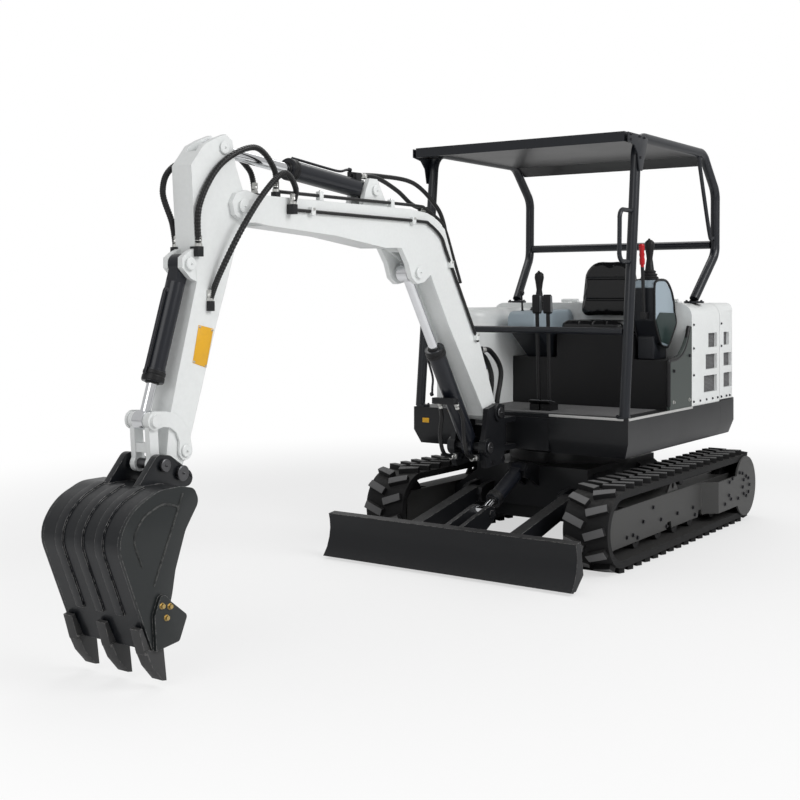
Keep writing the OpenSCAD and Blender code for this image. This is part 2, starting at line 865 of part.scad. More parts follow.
module arm() {
    hw = arm_w / 2;
    ew = boom_w / 2 - fork_t - gap;
    color([0.88, 0.88, 0.86])
        translate([0, boom_y, 0])
            difference() {
                union() {
                    slab(-ew, ew, [[2925, 1770], [2962, 1724], [2989, 1639], [3051, 1458], [3216, 1482], [3247, 1944],
                        [3175, 2030], [3116, 2060], [3050, 2085], [3010, 2060], [2990, 1960], [2930, 1830]]);
                    slab(-ew, ew, [[3051, 1458], [3111, 1299], [3178, 1097], [3250, 880], [3306, 745], [3347, 712],
                        [3386, 745], [3382, 800], [3363, 964], [3326, 1102], [3216, 1482]]);
                    bar_y(guide_pin, -ew, ew, 40);
                    bar_y(bucket_pin, -hw, hw, 41);
                    for (e = [-1, 1])
                        slab(e * 40 - 12, e * 40 + 12, [[3180, 1640], [3200, 1480], [3250, 1500], [3295, 1540],
                            [3295, 1580], [3265, 1600]]);
                }
                bar_y(arm_pivot, -500, 500, pin_r + gap);
                bar_y(arm_cyl_pin, -500, 500, pin_r - 4);
                bar_y(guide_pin, -500, 500, 20);
                bar_y(bucket_pin, -500, 500, pin_r + gap);
                bar_y(bucket_cyl_base, -500, 500, pin_r - 4);
                bar_y(bucket_cyl_base, -28, 28, 46);
                slab(-28, 28, [[2900, 1940], [3080, 1940], [3190, 2000], [3400, 2150], [2900, 2200]]);
            }
    color([0.3, 0.3, 0.31])
        translate([0, boom_y, 0]) {
            for (e = [-1, 1])
                bar_y(arm_cyl_pin, e * 44 - 14, e * 44 + 14, pin_r - 4);
            bar_y(guide_pin, -hw - 6, hw + 6, 20);
            bar_y(bucket_cyl_base, -60, 60, pin_r - 4);
        }
}

module bucket_cylinder_barrel() {
    color([0.05, 0.06, 0.09])
        aim(bucket_cyl_base, link_pin, boom_y)
            barrel(480, bucket_cyl_r, 20, 40, 27, pin_r - 4 + gap, 80);
}

module bucket_cylinder_rod() {
    color([0.75, 0.76, 0.78])
        aim(bucket_cyl_base, link_pin, boom_y)
            rod(200, norm(link_pin - bucket_cyl_base), 20, 36, 27, 18);
}

// A flat link with an eye at each end, in the plane from y0 to y1.
module link_plate(a, b, y0, y1, r, bore) {
    d = b - a;
    n = [-d[1], d[0]] / norm(d) * r;
    difference() {
        union() {
            bar_y(a, y0, y1, r);
            bar_y(b, y0, y1, r);
            slab(y0, y1, [a + n * 0.7, b + n * 0.7, b - n * 0.7, a - n * 0.7]);
        }
        bar_y(b, y0 - 1, y1 + 1, bore);
    }
}

module guide_link() {
    g = guide_pin;
    p = link_pin;
    y = boom_w / 2 - fork_t + 5.5;
    color([0.88, 0.88, 0.86])
        translate([0, boom_y, 0])
            for (e = [-1, 1])
                difference() {
                    union() {
                        slab(e * y - 5, e * y + 5, [g + [36, 0], g + [34, 40], g + [52, 76], g + [84, 96],
                            g + [120, 102], p + [0, -36], p + [0, 36], g + [105, 160], g + [50, 148],
                            g + [8, 112], g + [-20, 70], g + [-36, 0]]);
                        bar_y(g, e * y - 5, e * y + 5, 36);
                        bar_y(p, e * y - 5, e * y + 5, 36);
                        bar_y(p, e * (y + 6) - 11, e * (y + 6) + 11, 24);
                    }
                    bar_y(g, -500, 500, 20 + gap);
                }
}

module bucket_link() {
    color([0.88, 0.88, 0.86])
        translate([0, boom_y, 0])
            difference() {
                union() {
                    for (e = [-1, 1])
                        link_plate(link_pin, bucket_link_pin, e * 40 - 12, e * 40 + 12, 32, 20 + gap);
                    block([3425, -50, 836], [3460, 50, 872]);
                }
                bar_y(bucket_link_pin, -500, 500, 20 + gap);
            }
}

module bucket() {
    hw = bucket_w / 2;
    outer = [[3400, 700], [3440, 850], [3500, 850], [3681, 708], [3775, 581], [3766, 528], [3649, 197], [3560, 90],
        [3505, 90]];
    color([0.08, 0.1, 0.11])
        translate([0, boom_y, 0]) {
            difference() {
                slab(-hw, hw, [[3379, 674], [3520, 740], [3681, 708], [3775, 581], [3766, 528], [3649, 197],
                    [3545, 92], [3515, 100], [3585, 190], [3503, 317], [3427, 494]]);
                slab(-hw + 16, hw - 16, [[3200, 640], [3420, 672], [3530, 712], [3665, 690], [3752, 575], [3746, 528],
                    [3632, 210], [3515, 115], [3400, 100]]);
            }
            for (e = [-1, 1])
                difference() {
                    union() {
                        slab(e * 81 - 14, e * 81 + 14, [[3400, 660], [3330, 700], [3297, 750], [3320, 800], [3400, 845],
                            [3440, 845], [3490, 800], [3600, 700], [3520, 690]]);
                    }
                    bar_y(bucket_pin, -500, 500, pin_r);
                    bar_y(bucket_link_pin, -500, 500, 20);
                }
            bar_y(bucket_pin, -107, 107, pin_r);
            bar_y(bucket_link_pin, -107, 107, 20);
        }
}

module bucket_teeth() {
    color([0.4, 0.4, 0.4])
        translate([0, boom_y, 0])
            for (y = [-195, 0, 195])
                slab(y - 28, y + 28, [[3545, 92 - gap], [3515, 92 - gap], [3525, 30], [3540, 30]]);
}

car_body();
slew_ring();
left_track_frame();
right_track_frame();
left_track();
right_track();
idlers();
sprockets();
track_rollers();
travel_motors();
blade();
blade_cylinder_barrel();
blade_cylinder_rod();
house_frame();
left_skirt();
right_skirt();
counterweight();
deck();
engine_hood();
engine_cover();
engine();
right_cover();
left_panel();
seat_base();
seat_cushion();
seat_back();
left_console();
right_console();
joysticks();
travel_levers();
hand_levers();
left_hoop();
right_hoop();
canopy_bars();
canopy_roof();
grab_handle();
swing_bracket();
boom();
boom_cylinder_barrel();
boom_cylinder_rod();
arm_cylinder_barrel();
arm_cylinder_rod();
arm();
bucket_cylinder_barrel();
bucket_cylinder_rod();
guide_link();
bucket_link();
bucket();
bucket_teeth();
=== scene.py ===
import math

import bmesh
import bpy
from mathutils import Matrix, Vector


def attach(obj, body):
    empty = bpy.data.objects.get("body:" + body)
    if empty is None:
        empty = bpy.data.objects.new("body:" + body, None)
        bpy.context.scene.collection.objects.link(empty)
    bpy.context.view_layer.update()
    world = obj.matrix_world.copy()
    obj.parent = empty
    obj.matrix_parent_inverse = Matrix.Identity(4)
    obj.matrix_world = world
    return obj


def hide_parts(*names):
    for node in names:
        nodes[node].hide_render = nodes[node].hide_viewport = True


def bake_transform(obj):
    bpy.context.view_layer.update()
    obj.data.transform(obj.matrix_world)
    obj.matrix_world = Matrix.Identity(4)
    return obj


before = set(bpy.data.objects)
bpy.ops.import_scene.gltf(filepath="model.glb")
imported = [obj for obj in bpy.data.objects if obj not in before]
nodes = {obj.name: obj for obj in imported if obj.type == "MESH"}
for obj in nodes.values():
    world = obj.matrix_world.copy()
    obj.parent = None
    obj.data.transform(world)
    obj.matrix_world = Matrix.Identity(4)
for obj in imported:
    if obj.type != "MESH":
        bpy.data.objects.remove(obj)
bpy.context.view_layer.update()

# The studio: a pale floor that runs out to a white backdrop, a broad soft light high on the
# machine's left, a weaker one ahead of it, and the photograph's own viewpoint.
scene = bpy.context.scene
scene.view_settings.view_transform = "Standard"
IMAGE_SIDE = 800
FOCAL_PIXELS = 1221.15
IMAGE_CENTRE = (395.94, 300.05)
CAMERA_PLACE = (6.709, 3.382, 1.4265)
CAMERA_YAW, CAMERA_PITCH = math.radians(-145.128), math.radians(-0.149)

lens = bpy.data.cameras.new("photo_lens")
lens.sensor_width = 36
lens.lens = FOCAL_PIXELS / IMAGE_SIDE * lens.sensor_width
lens.shift_x = 0.5 - IMAGE_CENTRE[0] / IMAGE_SIDE
lens.shift_y = IMAGE_CENTRE[1] / IMAGE_SIDE - 0.5
camera = bpy.data.objects.new("camera", lens)
camera.location = CAMERA_PLACE
camera.rotation_euler = (math.pi / 2 + CAMERA_PITCH, 0, CAMERA_YAW - math.pi / 2)
scene.collection.objects.link(camera)
scene.camera = camera


class Socket:
    """A value in a shader: an expression on it adds Math nodes, and node() adds any other kind."""

    def __init__(self, tree, socket=None):
        self.tree = tree
        self.socket = socket

    def node(self, kind, settings, inputs, output=0):
        made = self.tree.nodes.new(kind)
        for name, value in settings.items():
            setattr(made, name, value)
        for name, value in inputs.items():
            if isinstance(value, Socket):
                self.tree.links.new(value.socket, made.inputs[name])
            else:
                made.inputs[name].default_value = value
        return Socket(self.tree, made.outputs[output])

    def maths(self, operation, *values):
        inputs = dict(enumerate(values))
        return self.node("ShaderNodeMath", {"operation": operation}, inputs)

    def __add__(self, other):
        return self.maths("ADD", self, other)

    def __radd__(self, other):
        return self.maths("ADD", other, self)

    def __sub__(self, other):
        return self.maths("SUBTRACT", self, other)

    def __rsub__(self, other):
        return self.maths("SUBTRACT", other, self)

    def __mul__(self, other):
        return self.maths("MULTIPLY", self, other)

    def __rmul__(self, other):
        return self.maths("MULTIPLY", other, self)

    def over(self, low, high):
        """0 where the value is below low, 1 where it is above high, and smooth between."""
        settings = {"interpolation_type": "SMOOTHSTEP"}
        return self.node("ShaderNodeMapRange", settings, {0: self, 1: low, 2: high})

    def mix(self, first, second):
        """Two colours mixed by this value."""
        return self.node("ShaderNodeMix", {"data_type": "RGBA"}, {0: self, 6: first, 7: second}, 2)

    def along(self, axis):
        """One of a vector's X, Y and Z."""
        return self.node("ShaderNodeSeparateXYZ", {}, {0: self}, axis)


world = bpy.data.worlds.new("studio_light")
world.use_nodes = True
scene.world = world
sky = Socket(world.node_tree)
seen = sky.node("ShaderNodeLightPath", {}, {}, "Is Camera Ray")
shine = sky.node("ShaderNodeLightPath", {}, {}, "Is Glossy Ray")
through = sky.node("ShaderNodeLightPath", {}, {}, "Is Transmission Ray")
GLOSSY_WALL = 0.18
white_wall = seen.maths("MINIMUM", seen + shine * GLOSSY_WALL + through, 1.0)
AMBIENT = 0.42
backdrop = world.node_tree.nodes["Background"]
world.node_tree.links.new((AMBIENT + white_wall * (1 - AMBIENT)).socket, backdrop.inputs["Strength"])
backdrop.inputs["Color"].default_value = (1, 1, 1, 1)

floor_mesh = bpy.data.meshes.new("floor")
shape = bmesh.new()
FLOOR_RADIUS = 60
bmesh.ops.create_circle(shape, cap_ends=True, radius=FLOOR_RADIUS, segments=64)
shape.to_mesh(floor_mesh)
shape.free()
floor = bpy.data.objects.new("floor", floor_mesh)
scene.collection.objects.link(floor)
pale = bpy.data.materials.new("pale_floor")
pale.use_nodes = True
pale.node_tree.nodes["Principled BSDF"].inputs["Base Color"].default_value = (0.86, 0.86, 0.86, 1)
pale.node_tree.nodes["Principled BSDF"].inputs["Roughness"].default_value = 0.9
ground = Socket(pale.node_tree)
seen = ground.node("ShaderNodeLightPath", {}, {}, "Is Camera Ray")
spot = ground.node("ShaderNodeTexCoord", {}, {}, "Object")
away = ground.node("ShaderNodeVectorMath", {"operation": "LENGTH"}, {0: spot}, "Value")
lit = Socket(pale.node_tree, pale.node_tree.nodes["Principled BSDF"].outputs[0])
bright = ground.node("ShaderNodeEmission", {}, {"Strength": 1.0})
FLOOR_GLOW = 0.6
FADE_FROM, FADE_TO = 2.5, 5.5
white_out = FLOOR_GLOW + (1 - FLOOR_GLOW) * away.over(FADE_FROM, FADE_TO)
both = ground.node("ShaderNodeMixShader", {}, {0: seen * white_out, 1: lit, 2: bright})
pale.node_tree.links.new(both.socket, pale.node_tree.nodes["Material Output"].inputs["Surface"])
floor_mesh.materials.append(pale)


def soft_box(name, place, target, side, power):
    light = bpy.data.lights.new(name, "AREA")
    light.size = side
    light.energy = power
    lamp = bpy.data.objects.new(name, light)
    lamp.location = place
    lamp.rotation_euler = (Vector(target) - Vector(place)).to_track_quat("-Z", "Y").to_euler()
    scene.collection.objects.link(lamp)


soft_box("left_soft_box", (1.2, 6.5, 5.5), (0.8, 0, 0.9), 4.0, 300)
soft_box("front_soft_box", (8.0, 1.0, 4.2), (1.5, 0, 0.9), 3.5, 70)
soft_box("top_soft_box", (-1.0, -1.5, 6.5), (0.5, 0, 1.0), 4.0, 120)


# Car body, blade, skirts and other dark structure: welded plate under charcoal machine enamel, sprayed
# on thick. It has a slight orange peel, a faint mottle, dust on the faces that look up, and paint rubbed
# through to the steel along the edges of what digs and pushes.
CLOUD_SCALE, GRAIN_SCALE, PEEL_SCALE = 2.2, 60.0, 260.0
EDGE_RADIUS = 0.003
DUST = (0.5, 0.49, 0.47, 1)
BARE_STEEL = (0.42, 0.41, 0.4, 1)


def enamel(name, colour, roughness, coat=0.2, dust=0.08, wear=0.0, patch=None, patched=None):
    """Paint, rubber or moulded plastic in one colour, or with another one where patch says."""
    made = bpy.data.materials.new(name)
    made.use_nodes = True
    shader = made.node_tree.nodes["Principled BSDF"]
    tree = Socket(made.node_tree)
    place = tree.node("ShaderNodeTexCoord", {}, {}, "Object")
    cloud = tree.node("ShaderNodeTexNoise", {}, {"Vector": place, "Scale": CLOUD_SCALE, "Detail": 3.0})
    grain = tree.node("ShaderNodeTexNoise", {}, {"Vector": place, "Scale": GRAIN_SCALE, "Detail": 2.0})
    peel = tree.node("ShaderNodeTexNoise", {}, {"Vector": place, "Scale": PEEL_SCALE, "Detail": 1.0})
    normal = tree.node("ShaderNodeNewGeometry", {}, {}, "Normal")
    rounded = tree.node("ShaderNodeBevel", {"samples": 4}, {"Radius": EDGE_RADIUS})
    tone = 0.9 + cloud * 0.12 + grain * 0.08
    coloured = tree.node("ShaderNodeVectorMath", {"operation": "SCALE"}, {0: colour, "Scale": tone})
    if patch:
        coloured = patch(place).mix(coloured, (*patched, 1))
    facing_up = normal.along("Z").over(0.4, 1.0)
    coloured = (facing_up * dust * grain).mix(coloured, DUST)
    if wear:
        level = tree.node(
            "ShaderNodeVectorMath", {"operation": "DOT_PRODUCT"}, {0: normal, 1: rounded}, "Value"
        )
        rubbed = (1 - level).over(0.01, 0.14) * grain.over(0.35, 0.6) * wear
        coloured = rubbed.mix(coloured, BARE_STEEL)
    bump = tree.node(
        "ShaderNodeBump", {}, {"Strength": 0.06, "Distance": 0.001, "Height": peel, "Normal": rounded}
    )
    made.node_tree.links.new(coloured.socket, shader.inputs["Base Color"])
    made.node_tree.links.new((roughness - 0.06 + cloud * 0.12).socket, shader.inputs["Roughness"])
    made.node_tree.links.new(bump.socket, shader.inputs["Normal"])
    shader.inputs["Coat Weight"].default_value = coat
    shader.inputs["Coat Roughness"].default_value = 0.15
    shader.inputs["Specular IOR Level"].default_value = 0.32
    return made


SMOOTH_UNDER = math.radians(28)


def finish_node(name, material):
    """Gives a CAD node its finish, with its curved faces shaded smooth."""
    piece = nodes[name]
    piece.data.materials.clear()
    piece.data.materials.append(material)
    for face in piece.data.polygons:
        face.use_smooth = True
    weld = piece.modifiers.new("weld", "WELD")
    weld.merge_threshold = 0.00002
    split = piece.modifiers.new("split", "EDGE_SPLIT")
    split.split_angle = SMOOTH_UNDER


CHARCOAL = (0.0065, 0.0072, 0.009)
charcoal = enamel("charcoal_enamel", CHARCOAL, 0.45)
for name in (
    "car_body", "house_frame", "left_skirt", "right_skirt", "counterweight", "deck", "swing_bracket",
    "travel_motors",
):
    finish_node(name, charcoal)
worn_charcoal = enamel("worn_charcoal_enamel", CHARCOAL, 0.5, coat=0.1, dust=0.12, wear=0.8)
finish_node("blade", worn_charcoal)


def add_piece(name, shape, body, material):
    """Turns a finished bmesh into a piece that rides on a body, or on none yet."""
    bmesh.ops.recalc_face_normals(shape, faces=shape.faces)
    for face in shape.faces:
        face.smooth = True
    for edge in shape.edges:
        edge.smooth = edge.calc_face_angle(0) < SMOOTH_UNDER
    mesh = bpy.data.meshes.new(name)
    shape.to_mesh(mesh)
    shape.free()
    mesh.materials.append(material)
    piece = bpy.data.objects.new(name, mesh)
    scene.collection.objects.link(piece)
    if body:
        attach(piece, body)
    return piece


def mm(*numbers):
    return tuple(number / 1000 for number in numbers)


def steel(name, colour, roughness):
    """Bare or plated metal, with the fine streaks that turning and handling leave."""
    made = bpy.data.materials.new(name)
    made.use_nodes = True
    shader = made.node_tree.nodes["Principled BSDF"]
    tree = Socket(made.node_tree)
    place = tree.node("ShaderNodeTexCoord", {}, {}, "Object")
    streak = tree.node("ShaderNodeTexNoise", {}, {"Vector": place, "Scale": 120.0, "Detail": 3.0})
    cloud = tree.node("ShaderNodeTexNoise", {}, {"Vector": place, "Scale": 9.0, "Detail": 2.0})
    tone = 0.85 + streak * 0.1 + cloud * 0.2
    coloured = tree.node("ShaderNodeVectorMath", {"operation": "SCALE"}, {0: colour, "Scale": tone})
    made.node_tree.links.new(coloured.socket, shader.inputs["Base Color"])
    made.node_tree.links.new((roughness - 0.05 + streak * 0.1).socket, shader.inputs["Roughness"])
    shader.inputs["Metallic"].default_value = 1.0
    return made


zinc = steel("bright_zinc", (0.62, 0.62, 0.6), 0.35)
black_steel = steel("blacked_steel", (0.05, 0.05, 0.055), 0.42)


WASHER = (20, 0.72, 0, 0.14)
HEAD = (6, 0.577, 0.14, 0.6)


def hex_bolts(name, body, places, axis, across, material):
    """Hex-headed bolts, each with its washer, standing on a surface at each place in millimetres."""
    shape = bmesh.new()
    turn = Vector(axis).to_track_quat("Z", "Y").to_matrix().to_4x4()
    for place in places:
        seat = Matrix.Translation(mm(*place)) @ turn
        for sides, wide, low, high in (WASHER, HEAD):
            middle = Matrix.Translation((0, 0, (low + high) / 2 * across / 1000))
            bmesh.ops.create_cone(
                shape, cap_ends=True, segments=sides, radius1=wide * across / 1000,
                radius2=wide * across / 1100, depth=(high - low) * across / 1000, matrix=seat @ middle,
            )
    return add_piece(name, shape, body, material)


# Track frames: pressed and welded plate in mid grey enamel. The outer plate carries the roller bolts,
# and a guard plate stands over each drive sprocket on its own ring of bolts.
frame_grey = enamel("frame_grey_enamel", (0.052, 0.052, 0.051), 0.5, 0.05, 0.12, 0.35)
for name in ("left_track_frame", "right_track_frame"):
    finish_node(name, frame_grey)
GUARD_BOLTS = (
    (-824, 321), (-873, 312), (-794, 165), (-690, 300), (-637, 285), (-630, 205), (-665, 178),
    (-560, 160),
)
ROLLER_BOLTS = (
    (-600, 178), (-240, 178), (0, 178), (240, 178), (620, 150), (700, 150), (348, 261), (485, 202),
    (562, 128), (163, 128), (-272, 130),
)
GUARD_FACE, FRAME_FACE = 766, 685
DRIVE_X, DRIVE_Z, DRIVE_RING = -940, 225, 62
for side, word in ((1, "left"), (-1, "right")):
    places = [(x, side * GUARD_FACE, z) for x, z in GUARD_BOLTS]
    places += [(x, side * FRAME_FACE, z) for x, z in ROLLER_BOLTS]
    for k in range(8):
        over, up = DRIVE_RING * math.cos(k * 0.785), DRIVE_RING * math.sin(k * 0.785)
        places.append((DRIVE_X + over, side * GUARD_FACE, DRIVE_Z + up))
    facing = (0, side, 0)
    hex_bolts(word + "_frame_bolts", "undercarriage", places, facing, 17, black_steel)

wheel_iron = enamel("wheel_iron", (0.02, 0.02, 0.021), 0.55, 0.0)
for name in ("idlers", "sprockets", "track_rollers", "slew_ring", "engine"):
    finish_node(name, wheel_iron)


# Tracks: one moulded rubber belt each, with block lugs. The lugs' outer faces are coloured pale grey,
# part scuffing from the ground and part painted highlight, and everything between them stays black.
WHEEL_LINE = (-0.94, 0.88, 0.225)
LUG_FOOT, LUG_FACE = 0.2205, 0.2245


def lug_faces(place):
    """1 on the outer faces of the lugs, which lie furthest from the line between the two end wheels."""
    x = place.along("X")
    beside = x - x.maths("MINIMUM", x.maths("MAXIMUM", x, WHEEL_LINE[0]), WHEEL_LINE[1])
    above = place.along("Z") - WHEEL_LINE[2]
    reach = beside * beside + above * above
    return reach.maths("SQRT", reach).over(LUG_FOOT, LUG_FACE)


# The pale grey on the lugs' outer faces is partly painted highlight, for the light they catch, and
# partly ground scuffing.
rubber = enamel(
    "track_rubber", (0.008, 0.008, 0.0085), 0.72, coat=0.0, dust=0.1, patch=lug_faces,
    patched=(0.13, 0.13, 0.132),
)
for name in ("left_track", "right_track"):
    finish_node(name, rubber)


# Rams: welded tube in near-black navy, a grooved gland collar screwed on the mouth, a wiper round the
# hard-chromed rod, and a thin steel pipe that feeds the far end along the outside.
navy = enamel("cylinder_enamel", (0.0075, 0.009, 0.014), 0.32, 0.3)
chrome = steel("rod_chrome", (0.8, 0.81, 0.83), 0.1)
black_plastic = enamel("black_plastic", (0.008, 0.008, 0.009), 0.42, 0.0)


def lathe(shape, profile, place, axis, steps=28):
    """Turns a profile of (radius, height) pairs in millimetres about an axis that starts at place."""
    turned = bmesh.new()
    points = [turned.verts.new(mm(radius, 0, height)) for radius, height in profile]
    lines = [turned.edges.new(pair) for pair in zip(points, points[1:])]
    bmesh.ops.spin(
        turned, geom=points + lines, cent=(0, 0, 0), axis=(0, 0, 1), angle=2 * math.pi, steps=steps,
        use_merge=True,
    )
    bmesh.ops.remove_doubles(turned, verts=turned.verts, dist=1e-6)
    seat = Matrix.Translation(mm(*place)) @ Vector(axis).to_track_quat("Z", "Y").to_matrix().to_4x4()
    bmesh.ops.transform(turned, matrix=seat, verts=turned.verts)
    mesh = bpy.data.meshes.new("turned")
    turned.to_mesh(mesh)
    turned.free()
    shape.from_mesh(mesh)
    bpy.data.meshes.remove(mesh)


def smooth_line(points, steps):
    """Points of a smooth line through the given ones, steps to each stretch."""
    points = [Vector(point) for point in points]
    last = len(points) - 1
    line = []
    for i in range(last):
        a, b, c, d = points[max(i - 1, 0)], points[i], points[i + 1], points[min(i + 2, last)]
        for k in range(steps):
            t = k / steps
            bend = (2 * a - 5 * b + 4 * c - d) * t * t + (3 * b - a - 3 * c + d) * t * t * t
            line.append((2 * b + (c - a) * t + bend) / 2)
    return line + [points[last]]


def tube(shape, line, radius, sides=12, first=None, final=None, ribs=None):
    """A round tube of a radius in metres along the points of a line, drawn out ring by ring.

    ribs gives each ring its own scale, over and over along the line."""
    headings = [(after - before).normalized() for before, after in zip(line, line[2:])]
    headings.insert(0, Vector(first) if first else (line[1] - line[0]).normalized())
    headings.append(Vector(final) if final else (line[-1] - line[-2]).normalized())
    turn = headings[0].to_track_quat("Z", "Y")
    seat = Matrix.LocRotScale(line[0], turn, None)
    ring = bmesh.ops.create_circle(shape, radius=radius, segments=sides, matrix=seat)["verts"]
    edges = list({edge for vert in ring for edge in vert.link_edges})
    bmesh.ops.edgeloop_fill(shape, edges=edges)
    for i in range(1, len(line)):
        turn = headings[i - 1].rotation_difference(headings[i]) @ turn
        swell = ribs[i % len(ribs)] if ribs else 1
        onward = Matrix.LocRotScale(line[i], turn, (swell, swell, swell))
        made = bmesh.ops.extrude_edge_only(shape, edges=edges)["geom"]
        ring = [item for item in made if isinstance(item, bmesh.types.BMVert)]
        fresh = set(ring)
        edges = list({edge for vert in ring for edge in vert.link_edges if set(edge.verts) <= fresh})
        bmesh.ops.transform(shape, matrix=onward @ seat.inverted(), verts=ring)
        seat = onward
    bmesh.ops.edgeloop_fill(shape, edges=edges)


RAMS = (
    ("blade", (630, 450), (1040, 260), 0, 330, 44, 22, ()),
    ("boom", (1066, 620), (1683, 1547), -60, 650, 50, 25,
     ((382, -80, -53), (425, -68, -44), (480, -58, -22), (590, -56, -10), (618, -54, -4),
      (622, -44, 0))),
    ("arm", (2017, 1930), (3061, 2029), -60, 590, 47, 25,
     ((112, -17, 82), (150, -12, 76), (210, -2, 58), (300, 0, 54), (530, 0, 54), (556, 0, 52),
      (562, 0, 42))),
    ("bucket", (3255, 1556), (3450, 958), -60, 480, 42, 20,
     ((112, 0, 34), (118, 0, 46), (150, 0, 49), (300, 0, 49), (420, 0, 49), (450, 0, 49),
      (456, 0, 38))),
)
FEED_RADIUS = 0.006
FEED_NUT = ((0, 0), (10, 0), (10, 12), (7, 16), (0, 16))
for name, foot, eye, plane, length, wide, rod_wide, feed in RAMS:
    finish_node(name + "_cylinder_barrel", navy)
    finish_node(name + "_cylinder_rod", chrome)
    ahead = (Vector(eye) - Vector(foot)).normalized()
    mouth = Vector(foot) + ahead * length
    shape = bmesh.new()
    collar = [
        (wide - 1, -44), (wide + 2.5, -42), (wide + 2.5, -30), (wide + 0.6, -28), (wide + 0.6, -24),
        (wide + 2.5, -22), (wide + 2.5, -5), (wide - 3, 0.6), (wide - 3, -3),
    ]
    wiper = [
        (rod_wide + 0.8, 0.2), (rod_wide + 9, 0.2), (rod_wide + 7, 5), (rod_wide + 2, 7),
        (rod_wide + 0.8, 5),
    ]
    for profile in (collar, wiper):
        lathe(shape, profile, (mouth[0], plane, mouth[1]), (ahead[0], 0, ahead[1]), 40)
    add_piece(name + "_ram_gland", shape, name + "_barrel", black_plastic)
    if feed:
        across = Vector((-ahead[1], ahead[0]))
        points = []
        for x, y, z in feed:
            flat = Vector(foot) + ahead * x + across * z
            points.append(mm(flat[0], plane + y, flat[1]))
        shape = bmesh.new()
        tube(shape, smooth_line(points, 6), FEED_RADIUS)
        lathe(shape, FEED_NUT, [1000 * n for n in points[0]], (ahead[0], 0, ahead[1]))
        add_piece(name + "_ram_pipe", shape, name + "_barrel", black_steel)


# Hood, covers, boom, arm and links: white enamel, sprayed and baked, glossy. Round the vents a fine wire
# screen stands just inside the panel, and small black bolts hold the panels to the frame.
white = enamel("white_enamel", (0.84, 0.86, 0.855), 0.3, 0.4, 0.02)
for name in ("engine_hood", "engine_cover", "boom", "arm", "guide_link", "bucket_link"):
    finish_node(name, white)


WIRES_PER_METRE = 125.0


def wires(place):
    """1 on the wires of a woven screen."""
    across = place.along("X") * WIRES_PER_METRE
    upward = place.along("Z") * WIRES_PER_METRE
    across = across.maths("PINGPONG", across, 0.5)
    upward = upward.maths("PINGPONG", upward, 0.5)
    return across.maths("MAXIMUM", across.over(0.28, 0.4), upward.over(0.28, 0.4))


screen = enamel(
    "wire_screen", (0.012, 0.012, 0.013), 0.6, coat=0.0, dust=0.0, patch=wires,
    patched=(0.22, 0.22, 0.225),
)
SCREEN_Y, SCREEN_Z, SCREEN_HALF, SCREEN_LIP = 657, 1026, 205, 10
for body, x0, x1 in (("house", -676, -425), ("engine_cover", -945, -757)):
    shape = bmesh.new()
    middle = Matrix.Translation(mm((x0 + x1) / 2, SCREEN_Y, SCREEN_Z))
    size = Matrix.Diagonal((*mm((x1 - x0) / 2, SCREEN_HALF, 1), 1))
    flat = Matrix.Rotation(math.pi / 2, 4, "X")
    bmesh.ops.create_grid(shape, x_segments=12, y_segments=16, size=1, matrix=middle @ flat @ size)
    rim = [edge for edge in shape.edges if edge.is_boundary]
    lip = bmesh.ops.extrude_edge_only(shape, edges=rim)["geom"]
    lip = [item for item in lip if isinstance(item, bmesh.types.BMVert)]
    bmesh.ops.translate(shape, vec=mm(0, -SCREEN_LIP, 0), verts=lip)
    bmesh.ops.solidify(shape, geom=shape.faces[:], thickness=0.0015)
    add_piece(body + "_vent_screen", shape, body, screen)
hood_bolts = [(x, 680, 802) for x in (-268, -372, -476, -580, -668)]
hood_bolts += [(-268, 680, z) for z in (960, 1120, 1260)]
hex_bolts("hood_bolts", "house", hood_bolts, (0, 1, 0), 11, black_steel)
cover_bolts = [(x, 681, 802) for x in (-730, -820, -880)] + [(-730, 681, z) for z in (1120, 1260)]
hex_bolts("cover_bolts", "engine_cover", cover_bolts, (0, 1, 0), 11, black_steel)


def ease_edges(shape, edges, offset):
    """Rounds edges over, by an offset in millimetres."""
    bmesh.ops.bevel(
        shape, geom=edges, offset=offset / 1000, offset_type="OFFSET", segments=3, profile=0.5,
        affect="EDGES", material=-1, clamp_overlap=True,
    )


def block(shape, low, high, ease):
    """A rounded block between two corners in millimetres."""
    low, high = Vector(mm(*low)), Vector(mm(*high))
    seat = Matrix.LocRotScale((low + high) / 2, None, high - low)
    made = bmesh.ops.create_cube(shape, size=1, matrix=seat)["verts"]
    ease_edges(shape, list({edge for vert in made for edge in vert.link_edges}), ease)


# Latch of the engine cover: a black paddle in a shallow dish, low on the rear face, with a key barrel
# beside it. The paddle is pulled out to let the cover swing up.
shape = bmesh.new()
block(shape, (-1062, -70, 900), (-1050, 70, 975), 5)
block(shape, (-1074, -52, 915), (-1060, 30, 960), 6)
lathe(shape, [(0, 6), (9, 6), (11, 4), (11, 0)], (-1062, 50, 938), (-1, 0, 0))
add_piece("cover_latch", shape, "engine_cover", black_plastic)

# Right-hand cover: a white moulded hood over the tanks, well rounded at its front and along its top.
# It has a few black bolts near its front edge, and a round lamp in a black bezel with a violet-tinted
# glass.
def rounded(corners):
    """An outline of (x, y) or (x, y, radius) corners, with an arc at each corner that has a radius."""
    line = []
    for i, corner in enumerate(corners):
        here = Vector(corner[:2])
        if len(corner) == 2:
            line.append(here)
            continue
        before = (Vector(corners[i - 1][:2]) - here).normalized()
        after = (Vector(corners[(i + 1) % len(corners)][:2]) - here).normalized()
        half = before.angle(after) / 2
        centre = here + (before + after).normalized() * (corner[2] / math.sin(half))
        start = here + before * (corner[2] / math.tan(half)) - centre
        final = here + after * (corner[2] / math.tan(half)) - centre
        line += [centre + start.slerp(final, k / 6) * corner[2] for k in range(7)]
    return line


